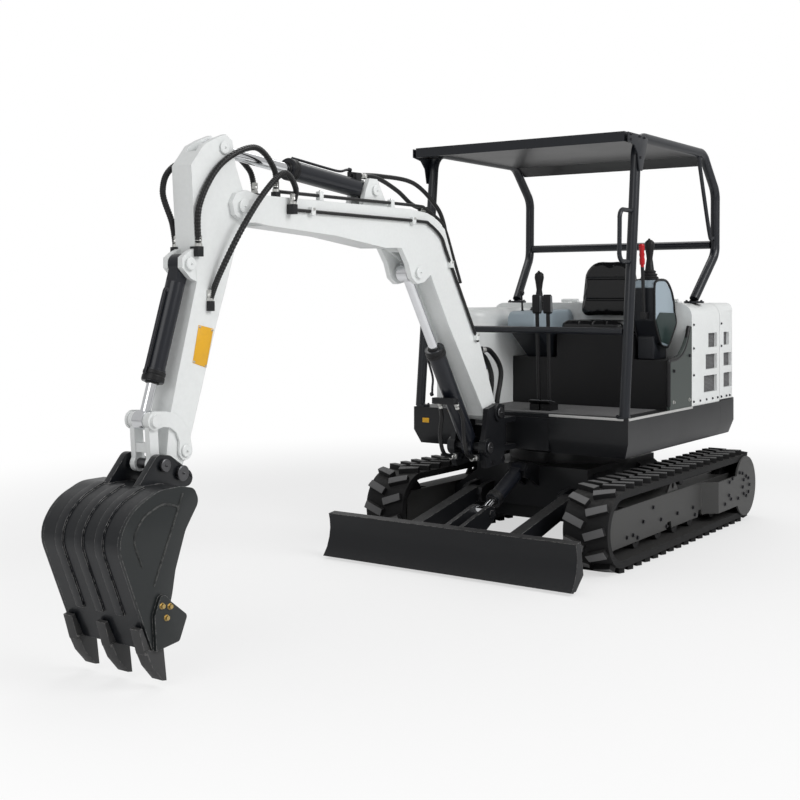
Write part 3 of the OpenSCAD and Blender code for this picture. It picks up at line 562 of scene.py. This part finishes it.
def slab(shape, outline, axis, low, high, ease=0):
    """A flat outline in millimetres, drawn out along X, Y or Z (0, 1 or 2) from low to high."""
    corners = []
    for point in outline:
        corner = list(point)
        corner.insert(axis, low)
        corners.append(shape.verts.new(mm(*corner)))
    face = shape.faces.new(corners)
    made = bmesh.ops.extrude_face_region(shape, geom=[face])["geom"]
    far = [item for item in made if isinstance(item, bmesh.types.BMVert)]
    bmesh.ops.translate(shape, vec=mm(*((high - low) * (k == axis) for k in range(3))), verts=far)
    if ease:
        rims = [edge for ring in (corners, far) for vert in ring for edge in vert.link_edges]
        flat = [e for e in set(rims) if abs(e.verts[0].co[axis] - e.verts[1].co[axis]) < 1e-7]
        ease_edges(shape, flat, ease)


shape = bmesh.new()
plan = rounded(((-239.6, -682), (-239.6, -364.4), (480, -364.4, 160), (480, -682, 60)))
slab(shape, plan, 2, 775.4, 1360)
top = [edge for edge in shape.edges if min(vert.co.z for vert in edge.verts) > 1.359]
bmesh.ops.bevel(
    shape, geom=top, offset=0.055, offset_type="OFFSET", segments=6, profile=0.5, affect="EDGES",
    material=-1, clamp_overlap=True,
)
right_cover = add_piece("right_cover_panel", shape, "house", white)
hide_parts("right_cover")
cover_front = [(480, y, 806) for y in (-610, -530)] + [(480, -610, 1180), (480, -610, 980)]
hex_bolts("right_cover_bolts", "house", cover_front, (1, 0, 0), 11, black_steel)
LAMP_PLACE, LAMP_FACING = (388, -376, 1024), (0.412, 0.911, 0)
shape = bmesh.new()
bezel = [(0, -12), (34, -12), (36, 6), (35, 12), (30, 14), (27, 11), (27, 6)]
lathe(shape, bezel, LAMP_PLACE, LAMP_FACING, 40)
add_piece("lamp_bezel", shape, "house", black_plastic)
lamp_glass = enamel("lamp_glass", (0.14, 0.13, 0.3), 0.12, 0.8, 0.0)
shape = bmesh.new()
glass = [(0, 15), (8, 14.6), (9, 13.6), (16, 12.6), (17, 11.4), (24, 9), (27, 6), (0, 6)]
lathe(shape, glass, LAMP_PLACE, LAMP_FACING, 40)
add_piece("lamp_glass", shape, "house", lamp_glass)

# Left-hand panel: green-grey enamel plate, with a black rubber bead pushed over its curved edge and
# down its front, and four bolts. Below it a pale strip along the deck's edge is a painted highlight,
# standing for the glint on that edge. A ribbed mat lies on the deck.
panel_green = enamel("panel_enamel", (0.05, 0.062, 0.057), 0.4)
finish_node("left_panel", panel_green)
panel_edge = [
    (-215, 1250), (-168, 1160), (-100, 1096), (-14, 1067), (80, 1060), (94, 1046), (95, 1000), (95, 800),
]
BEAD_RADIUS = 0.0135
shape = bmesh.new()
tube(shape, smooth_line([mm(x, 670, z) for x, z in panel_edge], 6), BEAD_RADIUS)
add_piece("panel_bead", shape, "house", black_plastic)
low_bolts = [(-200, 680, 820), (40, 680, 820)]
hex_bolts("panel_light_bolts", "house", low_bolts, (0, 1, 0), 15, zinc)
high_bolts = [(-200, 680, 1080), (40, 680, 1000)]
hex_bolts("panel_dark_bolts", "house", high_bolts, (0, 1, 0), 15, black_steel)
# Painted highlight: a pale grey strip laid along the deck's edges for the glint that they catch.
painted_edge_glint = enamel("deck_painted_edge_glint", (0.5, 0.5, 0.49), 0.35)
shape = bmesh.new()
block(shape, (-236, 679, 764), (672, 689, 778), 3)
block(shape, (676, 214, 764), (687, 660, 778), 3)
add_piece("deck_edge_glint_strip", shape, "house", painted_edge_glint)
shape = bmesh.new()
MAT_RIBS, RIB_PITCH = 24, 22
for k in range(MAT_RIBS):
    block(shape, (100 + RIB_PITCH * k, -330, 775.4), (116 + RIB_PITCH * k, 600, 779), 1)
add_piece("deck_mat", shape, "house", rubber)

# Seat: a moulded base, and a cushion and back in glossy black vinyl stretched over foam. The cover
# swells between its edges, and sewn channels are drawn down into it. The back is rounded at the top.
finish_node("seat_base", black_plastic)
vinyl = enamel("seat_vinyl", (0.007, 0.0072, 0.008), 0.26, 0.35, 0.0)


def keep_modified(piece):
    """Puts what the piece's modifiers make into its own mesh."""
    ready = piece.evaluated_get(bpy.context.evaluated_depsgraph_get())
    made = bpy.data.meshes.new_from_object(ready)
    piece.modifiers.clear()
    piece.data = made


FOAM_VOXEL = 0.006
FOAM_SWELL = 0.012
FOAM_MOMENTS = 20
CHANNEL_HALF, CHANNEL_DEPTH = 0.012, 0.005


def stuffed(name, shape, channels, axis, front, node):
    """Swells a pad as foam fills its cover, then sews its channels.

    These are places along an axis, on the side that looks to front."""
    piece = add_piece(name, shape, None, vinyl)
    remesh = piece.modifiers.new("remesh", "REMESH")
    remesh.mode = "VOXEL"
    remesh.voxel_size = FOAM_VOXEL
    keep_modified(piece)
    start = [vert.co.copy() for vert in piece.data.vertices]
    cloth = piece.modifiers.new("cloth", "CLOTH").settings
    cloth.use_pressure = True
    cloth.uniform_pressure_force = 4
    cloth.effector_weights.gravity = 0
    for moment in range(1, FOAM_MOMENTS + 1):
        scene.frame_set(moment)
    keep_modified(piece)
    scene.frame_set(1)
    for vert, was in zip(piece.data.vertices, start):
        move = vert.co - was
        if move.length > FOAM_SWELL:
            vert.co = was + move * (FOAM_SWELL / move.length)
    finer = piece.modifiers.new("finer", "SUBSURF")
    finer.levels = finer.render_levels = 1
    keep_modified(piece)
    facing = Vector(front)
    for vert in piece.data.vertices:
        looks = max(0.0, vert.normal.dot(facing))
        for channel in channels:
            near = abs(vert.co[axis] - channel) / CHANNEL_HALF
            if near < 1:
                vert.co -= facing * (CHANNEL_DEPTH * looks * (1 - near * near) ** 2)
    for face in piece.data.polygons:
        face.use_smooth = True
    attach(piece, "house")
    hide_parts(node)


shape = bmesh.new()
block(shape, (-208, -28, 1217), (98, 388, 1276), 26)
stuffed("seat_cushion_pad", shape, (0.09, 0.18, 0.27), 1, (0, 0, 1), "seat_cushion")
shape = bmesh.new()
back = rounded(((-18, 1302, 50), (378, 1302, 50), (350, 1652, 120), (10, 1652, 120)))
slab(shape, back, 0, -196, -148, 16)
BACK_LEAN = 0.07
bmesh.ops.transform(
    shape, verts=shape.verts, space=Matrix.Translation(mm(0, 0, -1302)),
    matrix=Matrix(((1, 0, -BACK_LEAN, 0), (0, 1, 0, 0), (0, 0, 1, 0), (0, 0, 0, 1))),
)
stuffed("seat_back_pad", shape, (1.41, 1.54), 2, (1, 0, 0), "seat_back")


# Consoles: pale blue-grey moulded caps on dark bodies. The left one has a dark border and a teal-green
# shield over its lower half, and the right one carries a short lever with a ball knob by its joystick.
def console_body(place):
    """1 on the consoles' dark bodies, below their pale caps and inside the left one's pale cheek."""
    left = place.along("Y").over(0.3, 0.31)
    cheek = place.along("Y").over(0.578, 0.582)
    cap = place.along("Z").over(1.475, 1.485)
    left_pale = cheek.maths("MAXIMUM", cheek, cap)
    right_pale = place.along("Z").over(1.235, 1.24)
    return left * (1 - left_pale) + (1 - left) * (1 - right_pale)


console_plastic = enamel(
    "console_plastic", (0.34, 0.41, 0.46), 0.42, 0.1, 0.03, 0.0, console_body, (0.009, 0.0105, 0.014)
)
shape = bmesh.new()
left_cap = rounded((
    (90, 1290, 40), (0, 1150, 60), (-110, 1130, 40), (-235, 1270, 30), (-200, 1340, 40),
    (-195, 1390, 60), (-150, 1470, 60), (-70, 1526, 50), (60, 1524, 40), (95, 1490, 30),
))
slab(shape, left_cap, 1, 450, 585, 12)
block(shape, (-150, 455, 1060.4), (40, 560, 1200), 10)
left_console = add_piece("left_console_cap", shape, "house", console_plastic)
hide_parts("left_console")
shape = bmesh.new()
right_cap = rounded((
    (-230, 1060.4), (-230, 1300, 40), (-200, 1350, 30), (270, 1340, 50), (290, 1260, 40),
    (230, 1200, 50), (40, 1060.4),
))
slab(shape, right_cap, 1, -280, -90, 16)
right_console = add_piece("right_console_cap", shape, "house", console_plastic)
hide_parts("right_console")
stick = [
    (0, 0), (18, 0), (18, 4), (50, 4), (52, 16), (42, 22), (46, 34), (34, 40), (38, 51), (26, 58),
    (21, 100), (17, 124), (23, 168), (29, 200), (26, 222), (14, 233), (0, 236),
]
STICKS = ((60, -180, 1345), (0, 515, 1525.6))
shape = bmesh.new()
for place in STICKS:
    lathe(shape, stick, place, (0, 0, 1), 32)
joysticks = add_piece("joystick_pair", shape, "house", black_plastic)
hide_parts("joysticks")
shield_green = enamel("shield_enamel", (0.012, 0.028, 0.026), 0.4)
console_line = (
    (92, 1295), (55, 1228), (0, 1152), (-60, 1134), (-112, 1136), (-172, 1200), (-228, 1272),
    (-205, 1335), (-196, 1392), (-152, 1468), (-72, 1522), (56, 1520), (92, 1486), (93, 1390),
    (92, 1295),
)
BORDER_RADIUS = 0.007
for y in (450, 585):
    shape = bmesh.new()
    tube(shape, smooth_line([mm(x, y, z) for x, z in console_line], 4), BORDER_RADIUS, 8)
    add_piece("console_border_%d" % y, shape, "house", black_plastic)
shape = bmesh.new()
shield = ((80, 1292), (0, 1164), (-105, 1146), (-216, 1270), (-196, 1330), (20, 1336))
slab(shape, shield, 1, 585.4, 591, 2)
add_piece("console_shield", shape, "house", shield_green)
shape = bmesh.new()
ball_lever = [
    (9, 0), (9, 6), (6, 8), (5, 80), (5, 92), (12, 97), (17, 108), (17, 116), (12, 126), (0, 130),
]
lathe(shape, ball_lever, (190, -225, 1340), (0.1, 0, 1))
for x, y, z in STICKS:
    lathe(shape, [(53, 0), (57, 2), (57, 7), (54, 9), (53, 9)], (x, y, z), (0, 0, 1), 36)
    lathe(shape, [(0, 242), (5, 242), (7, 239), (7, 226)], (x + 6, y, z), (0, 0, 1), 16)
add_piece("console_knobs", shape, "house", black_plastic)

# Travel levers: black arms with grey plate grips, and pedals with a pale tread strip. The safety lever
# is a thin rod under a moulded red grip.
finish_node("travel_levers", black_plastic)
grip_grey = enamel("grip_plastic", (0.2, 0.21, 0.22), 0.4)
shape = bmesh.new()
handle = rounded(((478, 1330, 14), (490, 1440, 16), (520, 1440, 14), (516, 1330, 14)))
pedal = ((430, 815.4), (455, 823), (530, 838), (560, 836), (534, 822), (520, 815.4))
LEVER_ROWS = (40, 110)
for y in LEVER_ROWS:
    slab(shape, handle, 1, y - 22, y + 22, 4)
    slab(shape, pedal, 1, y - 30, y + 30, 2)
add_piece("lever_handles", shape, "house", black_plastic)
shape = bmesh.new()
grip = ((484, 1340), (493, 1432), (512, 1432), (509, 1340))
for y in LEVER_ROWS:
    for side in (-1, 1):
        slab(shape, grip, 1, y + side * 22.2, y + side * 25, 0.8)
    for k in range(5):
        x, z = 462 + k * 15, 825 + k * 3
        block(shape, (x, y - 27, z - 2), (x + 8, y + 27, z + 2), 1)
add_piece("lever_grips", shape, "house", grip_grey)


def red_part(place):
    """1 on the grip, above the bare rod."""
    return place.along("Z").over(1.595, 1.6)


RED = (0.5, 0.008, 0.014)
red_plastic = enamel("red_plastic", RED, 0.3)
lever_paint = enamel(
    "lever_paint", (0.012, 0.012, 0.013), 0.4, coat=0.2, dust=0.0, patch=red_part, patched=RED
)
finish_node("hand_levers", lever_paint)
shape = bmesh.new()
red_grip = [
    (10.4, 0), (15, 4), (16, 30), (13.5, 45), (16, 60), (13.5, 75), (16, 90), (17, 112), (12, 122),
    (0, 124),
]
lathe(shape, red_grip, (139.5, 530, 1610), (38, 0, 400))
add_piece("red_grip", shape, "house", red_plastic)

# Canopy: bent tube under slate enamel, bolted down through round feet, with a roof sheet coloured darker
# on the faces that look down, and a gusset plate at each front corner.
def underside(place):
    """1 on the faces that look down."""
    normal = place.node("ShaderNodeNewGeometry", {}, {}, "Normal")
    return 1 - normal.along("Z").over(-0.9, -0.4)


SLATE = (0.009, 0.011, 0.0155)
slate = enamel("slate_enamel", SLATE, 0.36, 0.3)
for name in ("left_hoop", "right_hoop", "canopy_bars", "grab_handle"):
    finish_node(name, slate)
roof_paint = enamel(
    "roof_enamel", SLATE, 0.36, coat=0.3, dust=0.08, patch=underside, patched=(0.006, 0.006, 0.0065)
)
finish_node("canopy_roof", roof_paint)
foot_bolts = []
for side in (-1, 1):
    for k in range(4):
        angle = math.pi / 4 + k * math.pi / 2
        foot_bolts.append((-440 + 48 * math.cos(angle), side * 615 + 48 * math.sin(angle), 1400.4))
        foot_bolts.append((651 + 33 * math.cos(angle), side * 643 + 33 * math.sin(angle), 787.4))
hex_bolts("canopy_foot_bolts", "house", foot_bolts, (0, 0, 1), 12, black_steel)
gusset = [
    (692, 2254), (610, 2240), (566, 2196), (546, 2110), (506, 2110), (430, 2290), (470, 2304),
    (692, 2304),
]
GUSSET_BOLTS = ((480, 2293), (540, 2294), (660, 2294), (660, 2266), (536, 2180))
LEFT_BRACE = (
    (-410, 655, 2276), (-506, 655, 2030), (-600, 655, 1806), (-640, 655, 1790), (-676, 655, 1794),
)
BRACE_RADIUS = 0.012
for side, word in ((1, "left"), (-1, "right")):
    shape = bmesh.new()
    slab(shape, gusset, 1, side * 684, side * 690, 1.5)
    if side > 0:
        tube(shape, smooth_line([mm(*point) for point in LEFT_BRACE], 5), BRACE_RADIUS)
    add_piece(word + "_gusset", shape, "house", slate)
    places = [(x, side * 690, z) for x, z in GUSSET_BOLTS]
    hex_bolts(word + "_gusset_bolts", "house", places, (0, side, 0), 12, black_steel)

# Pins of the working gear: hardened bar with a pressed cap at each end and a grease nipple in the cap.
# On the boom and the arm the caps are sprayed over with the rest.
pin_steel = steel("pin_steel", (0.12, 0.12, 0.125), 0.38)
PIN_ENDS = (
    ("boom_foot_pin", "swing_bracket", 955, 800, 124, 25),
    ("boom_ram_foot_pin", "swing_bracket", 1066, 620, 124, 25),
    ("arm_pivot_pin", "boom", 2970, 1797, 83, 25),
    ("boom_ram_eye_pin", "boom", 1683, 1547, 85, 25),
    ("arm_ram_foot_pin", "boom", 2017, 1930, 60, 21),
    ("arm_ram_eye_pin", "arm", 3061, 2029, 58, 21),
    ("bucket_ram_foot_pin", "arm", 3255, 1556, 60, 21),
    ("guide_pin", "arm", 3287, 830, 66, 20),
    ("bucket_pin", "bucket", 3347, 753, 107, 25),
    ("bucket_link_pin", "bucket", 3438, 792, 107, 20),
)
BOOM_PLANE = -60
for name, body, x, z, reach, wide in PIN_ENDS:
    shape = bmesh.new()
    for side in (-1, 1):
        cap = [
            (wide - 3, -2), (wide + 5, 0.3), (wide + 5, 3), (wide + 2, 5), (5, 5.5), (5, 8), (3.5, 9),
            (3.5, 12), (2, 14), (0, 14),
        ]
        lathe(shape, cap, (x, BOOM_PLANE + side * reach, z), (0, side, 0))
    if body in ("boom", "arm"):
        add_piece(name + "_caps", shape, body, white)
    else:
        add_piece(name + "_caps", shape, body, pin_steel)

# Swing bracket and boom: a clamp bolt near the bracket's top and two low down. Two black steel pipes
# run along the boom to the elbow, in white clamps with one bolt each.
bracket_bolts = [(915, 48, 815), (905, 48, 545), (1020, 48, 535)]
hex_bolts("bracket_bolts", "swing_bracket", bracket_bolts, (0, 1, 0), 18, black_steel)
pipe_black = enamel("pipe_enamel", (0.008, 0.008, 0.0085), 0.35, 0.2)
shape = bmesh.new()
low_pipe = (
    (2664, 24.5, 1800), (2200, 24.5, 1800), (1680, 24.5, 1800), (1600, 24.5, 1790), (1490, 24.5, 1732),
    (1440, 24.5, 1658), (1280, 24.5, 1418), (1128, 24.5, 1190),
)
high_pipe = (
    (2732, 4, 1874), (2200, 4, 1876), (1690, 4, 1878), (1600, 4, 1866), (1460, 4, 1810), (1410, 4, 1760),
    (1340, 4, 1630), (1270, 4, 1500),
)
PIPE_RADIUS = 0.008
for line in (low_pipe, high_pipe):
    tube(shape, smooth_line([mm(*point) for point in line], 6), PIPE_RADIUS)
add_piece("boom_pipes", shape, "boom", pipe_black)
shape = bmesh.new()
SIDE_CLAMPS = ((2534, 1800), (1746, 1800), (1398, 1594), (1144, 1214))
TOP_CLAMPS = (2450, 1900)
for x, z in SIDE_CLAMPS:
    block(shape, (x - 14, 15.4, z - 18), (x + 14, 36.5, z + 18), 2)
for x in TOP_CLAMPS:
    block(shape, (x - 14, -10, 1853), (x + 14, 14, 1894), 2)
add_piece("pipe_clamps", shape, "boom", white)
clamp_bolts = [(x, 36.5, z + 10) for x, z in SIDE_CLAMPS]
hex_bolts("clamp_bolts", "boom", clamp_bolts, (0, 1, 0), 10, zinc)
clamp_bolts = [(x, 3, 1894) for x in TOP_CLAMPS]
hex_bolts("top_clamp_bolts", "boom", clamp_bolts, (0, 0, 1), 10, zinc)


# Arm and skirt plates: thin yellow-enamelled sheet, left blank. The arm's plate is held by four small
# screws, and the skirt's is glued.
def rim_shade(place):
    """A faint weathering over the plates."""
    stain = place.node("ShaderNodeTexNoise", {}, {"Vector": place, "Scale": 30.0, "Detail": 3.0})
    return stain.over(0.55, 0.8)


yellow = enamel(
    "yellow_enamel", (0.83, 0.44, 0.02), 0.4, coat=0.2, dust=0.0, patch=rim_shade,
    patched=(0.72, 0.38, 0.025),
)
shape = bmesh.new()
slab(shape, ((3206, 1316), (3122, 1299), (3163, 1145), (3240, 1168)), 1, -7.2, -6, 0.3)
add_piece("arm_plate", shape, "arm", yellow)
shape = bmesh.new()
block(shape, (684.2, -624, 684), (686, -578, 712), 0.6)
add_piece("skirt_plate", shape, "house", yellow)
plate_screws = [(3200, -6, 1308), (3130, -6, 1293), (3168, -6, 1152), (3233, -6, 1172)]
hex_bolts("arm_plate_screws", "arm", plate_screws, (0, 1, 0), 7, zinc)


# Bucket: black-navy wrap between dark green-grey side plates. Weld beads run where the plates meet, the
# side cutters are held by brass-yellow bolts, and the edges are rubbed to steel by the soil.
def side_plates(place):
    """1 on the outer faces of the two side plates."""
    out = place.along("Y") - BOOM_PLANE / 1000
    return out.maths("ABSOLUTE", out).over(0.2, 0.2095)


bucket_paint = enamel(
    "bucket_enamel", (0.006, 0.0072, 0.0095), 0.36, coat=0.25, dust=0.05, wear=0.9, patch=side_plates,
    patched=(0.013, 0.016, 0.0165),
)
BUCKET_BACK = (
    (3457, 726, 60), (3571, 726, 160), (3704, 672, 200), (3774, 560, 120), (3660, 280, 400), (3606, 150),
)
BUCKET_MOUTH = (
    (3560, 150), (3535, 249, 60), (3507, 335, 120), (3490, 423, 120), (3438, 562, 120), (3366, 660, 40),
)
bucket_side = rounded(((3392, 712, 40),) + BUCKET_BACK + BUCKET_MOUTH)
wrap = rounded(((3380, 706),) + BUCKET_BACK)
WRAP_T = 14
STRIP_T, STRIP_HALF = 7, 20


def offset_line(line, by):
    """The points of a line moved sideways, to its right as it runs, in millimetres."""
    moved = []
    for i, point in enumerate(line):
        run = (line[min(i + 1, len(line) - 1)] - line[max(i - 1, 0)]).normalized()
        moved.append(point + Vector((run[1], -run[0])) * by)
    return moved


cutter = rounded((
    (3572, 363, 20), (3609, 276), (3600, 150), (3484, 162, 14), (3443, 250, 16), (3529, 318, 20),
))
ear = rounded((
    (3560, 700), (3410, 690), (3283, 700, 30), (3283, 747, 40), (3403, 826, 40), (3468, 836, 40),
    (3570, 720),
))
PLATE_IN, PLATE_OUT, CUTTER_OUT = 196, 212, 227
EAR_IN, EAR_OUT = 67, 95
shape = bmesh.new()
for side in (-1, 1):
    slab(shape, bucket_side, 1, BOOM_PLANE + side * PLATE_IN, BOOM_PLANE + side * PLATE_OUT, 2)
    slab(shape, cutter, 1, BOOM_PLANE + side * PLATE_OUT, BOOM_PLANE + side * CUTTER_OUT, 2)
    slab(shape, ear, 1, BOOM_PLANE + side * EAR_IN, BOOM_PLANE + side * EAR_OUT, 2)
slab(shape, wrap + offset_line(wrap, WRAP_T)[::-1], 1, BOOM_PLANE - 197, BOOM_PLANE + 197)
for y in (-106, 0, 106):
    strip = [point for point in wrap if point[0] > 3560 and point[1] > 185]
    strip += offset_line(strip, -STRIP_T)[::-1]
    slab(shape, strip, 1, BOOM_PLANE + y - STRIP_HALF, BOOM_PLANE + y + STRIP_HALF, 1.5)
bucket = add_piece("bucket_shell", shape, "bucket", bucket_paint)
tooth_iron = enamel("tooth_iron", (0.05, 0.05, 0.051), 0.5, 0.0, 0.1, 0.9)
shape = bmesh.new()
tooth = ((3636, 156), (3604, 90), (3552, 30), (3532, 26), (3540, 90), (3548, 150))
shank = ((3648, 240), (3664, 236), (3634, 140), (3560, 132), (3544, 160), (3610, 160))
TOOTH_PITCH, TOOTH_HALF, SHANK_HALF = 180, 30, 24
for y in (BOOM_PLANE - TOOTH_PITCH, BOOM_PLANE, BOOM_PLANE + TOOTH_PITCH):
    slab(shape, tooth, 1, y - TOOTH_HALF, y + TOOTH_HALF, 3)
    slab(shape, shank, 1, y - SHANK_HALF, y + SHANK_HALF, 2)
teeth = add_piece("bucket_tooth_set", shape, "bucket", tooth_iron)
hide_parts("bucket_teeth")
shape = bmesh.new()
for x, z, wide in ((3347, 753, 25), (3438, 792, 20)):
    lathe(shape, [(0, -107), (wide, -107), (wide, 107), (0, 107)], (x, BOOM_PLANE, z), (0, 1, 0))
add_piece("bucket_pins", shape, "bucket", pin_steel)
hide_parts("bucket")
weld_steel = enamel("weld_bead", (0.022, 0.024, 0.024), 0.45, 0.0, 0.1, 0.5)
brass = steel("brass_plating", (0.55, 0.4, 0.16), 0.35)
ARC = (
    (3477, 651), (3524, 668), (3571, 669), (3645, 640), (3687, 593), (3694, 560), (3687, 531),
    (3657, 463),
)
WELD = ((3455, 700), (3490, 622), (3530, 536), (3570, 450), (3600, 384))
WELD_RADIUS = 0.0042
CUTTER_BOLTS = ((3574, 309), (3535, 300), (3552, 262))
for side, word in ((1, "left"), (-1, "right")):
    shape = bmesh.new()
    for line in (ARC, WELD):
        points = [mm(x, BOOM_PLANE + side * (PLATE_OUT + 0.4), z) for x, z in line]
        tube(shape, smooth_line(points, 8), WELD_RADIUS, 8)
    add_piece(word + "_bucket_welds", shape, "bucket", weld_steel)
    places = [(x, BOOM_PLANE + side * CUTTER_OUT, z) for x, z in CUTTER_BOLTS]
    hex_bolts(word + "_cutter_bolts", "bucket", places, (0, side, 0), 17, brass)


# Hoses: wire-braided rubber, crimped into bright ferrules at the fittings. Each hangs in a loose loop
# over the joint that it crosses. Over the elbow they wear a ribbed spiral guard.
def scuffs(place):
    """Faint chalky scuffs along the rubber."""
    scuff = place.node("ShaderNodeTexNoise", {}, {"Vector": place, "Scale": 90.0, "Detail": 3.0})
    return scuff.over(0.6, 0.85)


hose_rubber = enamel(
    "hose_rubber", (0.007, 0.007, 0.0075), 0.34, coat=0.1, dust=0.0, patch=scuffs,
    patched=(0.018, 0.018, 0.019),
)
HOSE_STEPS, GUARD_STEPS = 12, 42
GUARD_RIBS = (1.0, 1.17, 1.17)
UP, DOWN_RAM = (0, 0, 1), (-0.554, 0, -0.8325)
BACK, DOWN = (-1, 0, 0), (0, 0, -1)
HOSES = (
    ("elbow_hose_left", "boom", "arm", 11, UP, DOWN,
     ((2679, 38, 1822.4), (2676, 50, 1890), (2760, 60, 1948), (2880, 60, 1866), (3020, 56, 1705),
      (3120, 24, 1515), (3147, -2, 1410.4))),
    ("elbow_hose_middle", "boom", "arm", 11, UP, DOWN,
     ((2747, 0, 1872.4), (2766, 4, 1972), (2890, 6, 2046), (3090, 6, 1960), (3215, 8, 1790),
      (3216, 2, 1625.4))),
    ("elbow_hose_right", "boom", "arm", 11, UP, DOWN,
     ((2747, -120, 1872.4), (2768, -136, 1976), (2920, -150, 2044), (3190, -150, 1955),
      (3262, -148, 1850), (3226, -132, 1720), (3216, -122, 1625.4))),
    ("arm_hose_upper", "arm_barrel", "boom", 11, BACK, DOWN,
     ((2090, -77, 2001), (1900, -68, 2012), (1640, -45, 1996), (1462, -24, 1890), (1392, -20, 1795),
      (1374, -20, 1700.4))),
    ("arm_hose_lower", "arm_barrel", "boom", 11, BACK, BACK,
     ((2090, -45, 1996), (1950, -44, 1996), (1800, -32, 1946), (1690, -24, 1888), (1576, -20, 1864))),
    ("foot_hose_left", "boom", "swing_bracket", 14, BACK, DOWN,
     ((1045.6, -10, 1140), (940, -10, 1130), (826, -10, 1020), (864, -10, 860), (880, -10, 742.4))),
    ("foot_hose_right", "boom", "swing_bracket", 14, BACK, DOWN,
     ((1045.6, -48, 1118), (950, -48, 1104), (866, -48, 1000), (872, -48, 860), (880, -48, 742.4))),
    ("boom_hose_right", "boom_barrel", "swing_bracket", 11, DOWN_RAM, BACK,
     ((1301, -112, 878), (1256, -122, 790), (1262, -128, 690), (1222, -128, 592), (1118.4, -125, 566))),
    ("boom_hose_left", "boom_barrel", "swing_bracket", 11, DOWN_RAM, BACK,
     ((1301, -8, 878), (1246, 2, 790), (1240, 8, 680), (1206, 8, 592), (1118.4, 5, 566))),
)
HOSE_BLOCKS = (
    ("boom", ((2664, 10, 1780), (2694, 52, 1822)), ((2732, -16, 1840), (2762, 14, 1872)),
     ((2732, -134, 1840), (2762, -104, 1872)), ((1356, -36, 1650), (1405, -4, 1700)),
     ((1536, -36, 1810), (1575.6, -4, 1880)), ((1046, -66, 1098), (1115, 8, 1160))),
    ("arm", ((3133, -30, 1370), (3161, 12, 1410)), ((3200, -30, 1585), (3232, 16, 1625)),
     ((3200, -138, 1585), (3232, -100, 1625))),
    ("swing_bracket", ((864, -66, 705), (896, 8, 742)), ((1050, -11, 548), (1118, 22, 584)),
     ((1050, -142, 548), (1118, -109, 584))),
    ("arm_barrel", ((2090, -89, 1970), (2130, -65, 2014)), ((2090, -57, 1970), (2130, -33, 2009))),
    ("boom_barrel", ((1296, -128, 866), (1344, 8, 898))),
)
for body, *corners in HOSE_BLOCKS:
    shape = bmesh.new()
    for low, high in corners:
        block(shape, low, high, 2)
    add_piece(body + "_hose_blocks", shape, body, charcoal)
ferrules = {}
for name, near, far, wide, first, final, route in HOSES:
    line = smooth_line([mm(*point) for point in route], HOSE_STEPS)
    shape = bmesh.new()
    if name.startswith("elbow"):
        fine = smooth_line([mm(*point) for point in route], GUARD_STEPS)
        tube(shape, fine, wide / 1000, 16, first, final, GUARD_RIBS)
    else:
        tube(shape, line, wide / 1000, 16, first, final)
    hose = add_piece(name + "_rubber", shape, None, hose_rubber)
    run = sum((after - before).length for before, after in zip(line, line[1:]))
    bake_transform(hose)
    for body, place, axis in ((near, route[0], first), (far, route[-1], [-n for n in final])):
        shape = ferrules.setdefault(body, bmesh.new())
        sleeve = [
            (0, 0), (wide + 4, 0), (wide + 4, 11), (wide + 1, 13), (wide + 1, 16), (wide + 2.6, 18),
            (wide + 2.6, 27), (wide + 1.8, 29), (wide + 2.6, 31), (wide + 2.6, 42), (wide + 0.6, 45),
            (wide - 2, 45),
        ]
        lathe(shape, sleeve, place, axis, 20)
for body, shape in ferrules.items():
    add_piece(body + "_ferrules", shape, body, zinc)
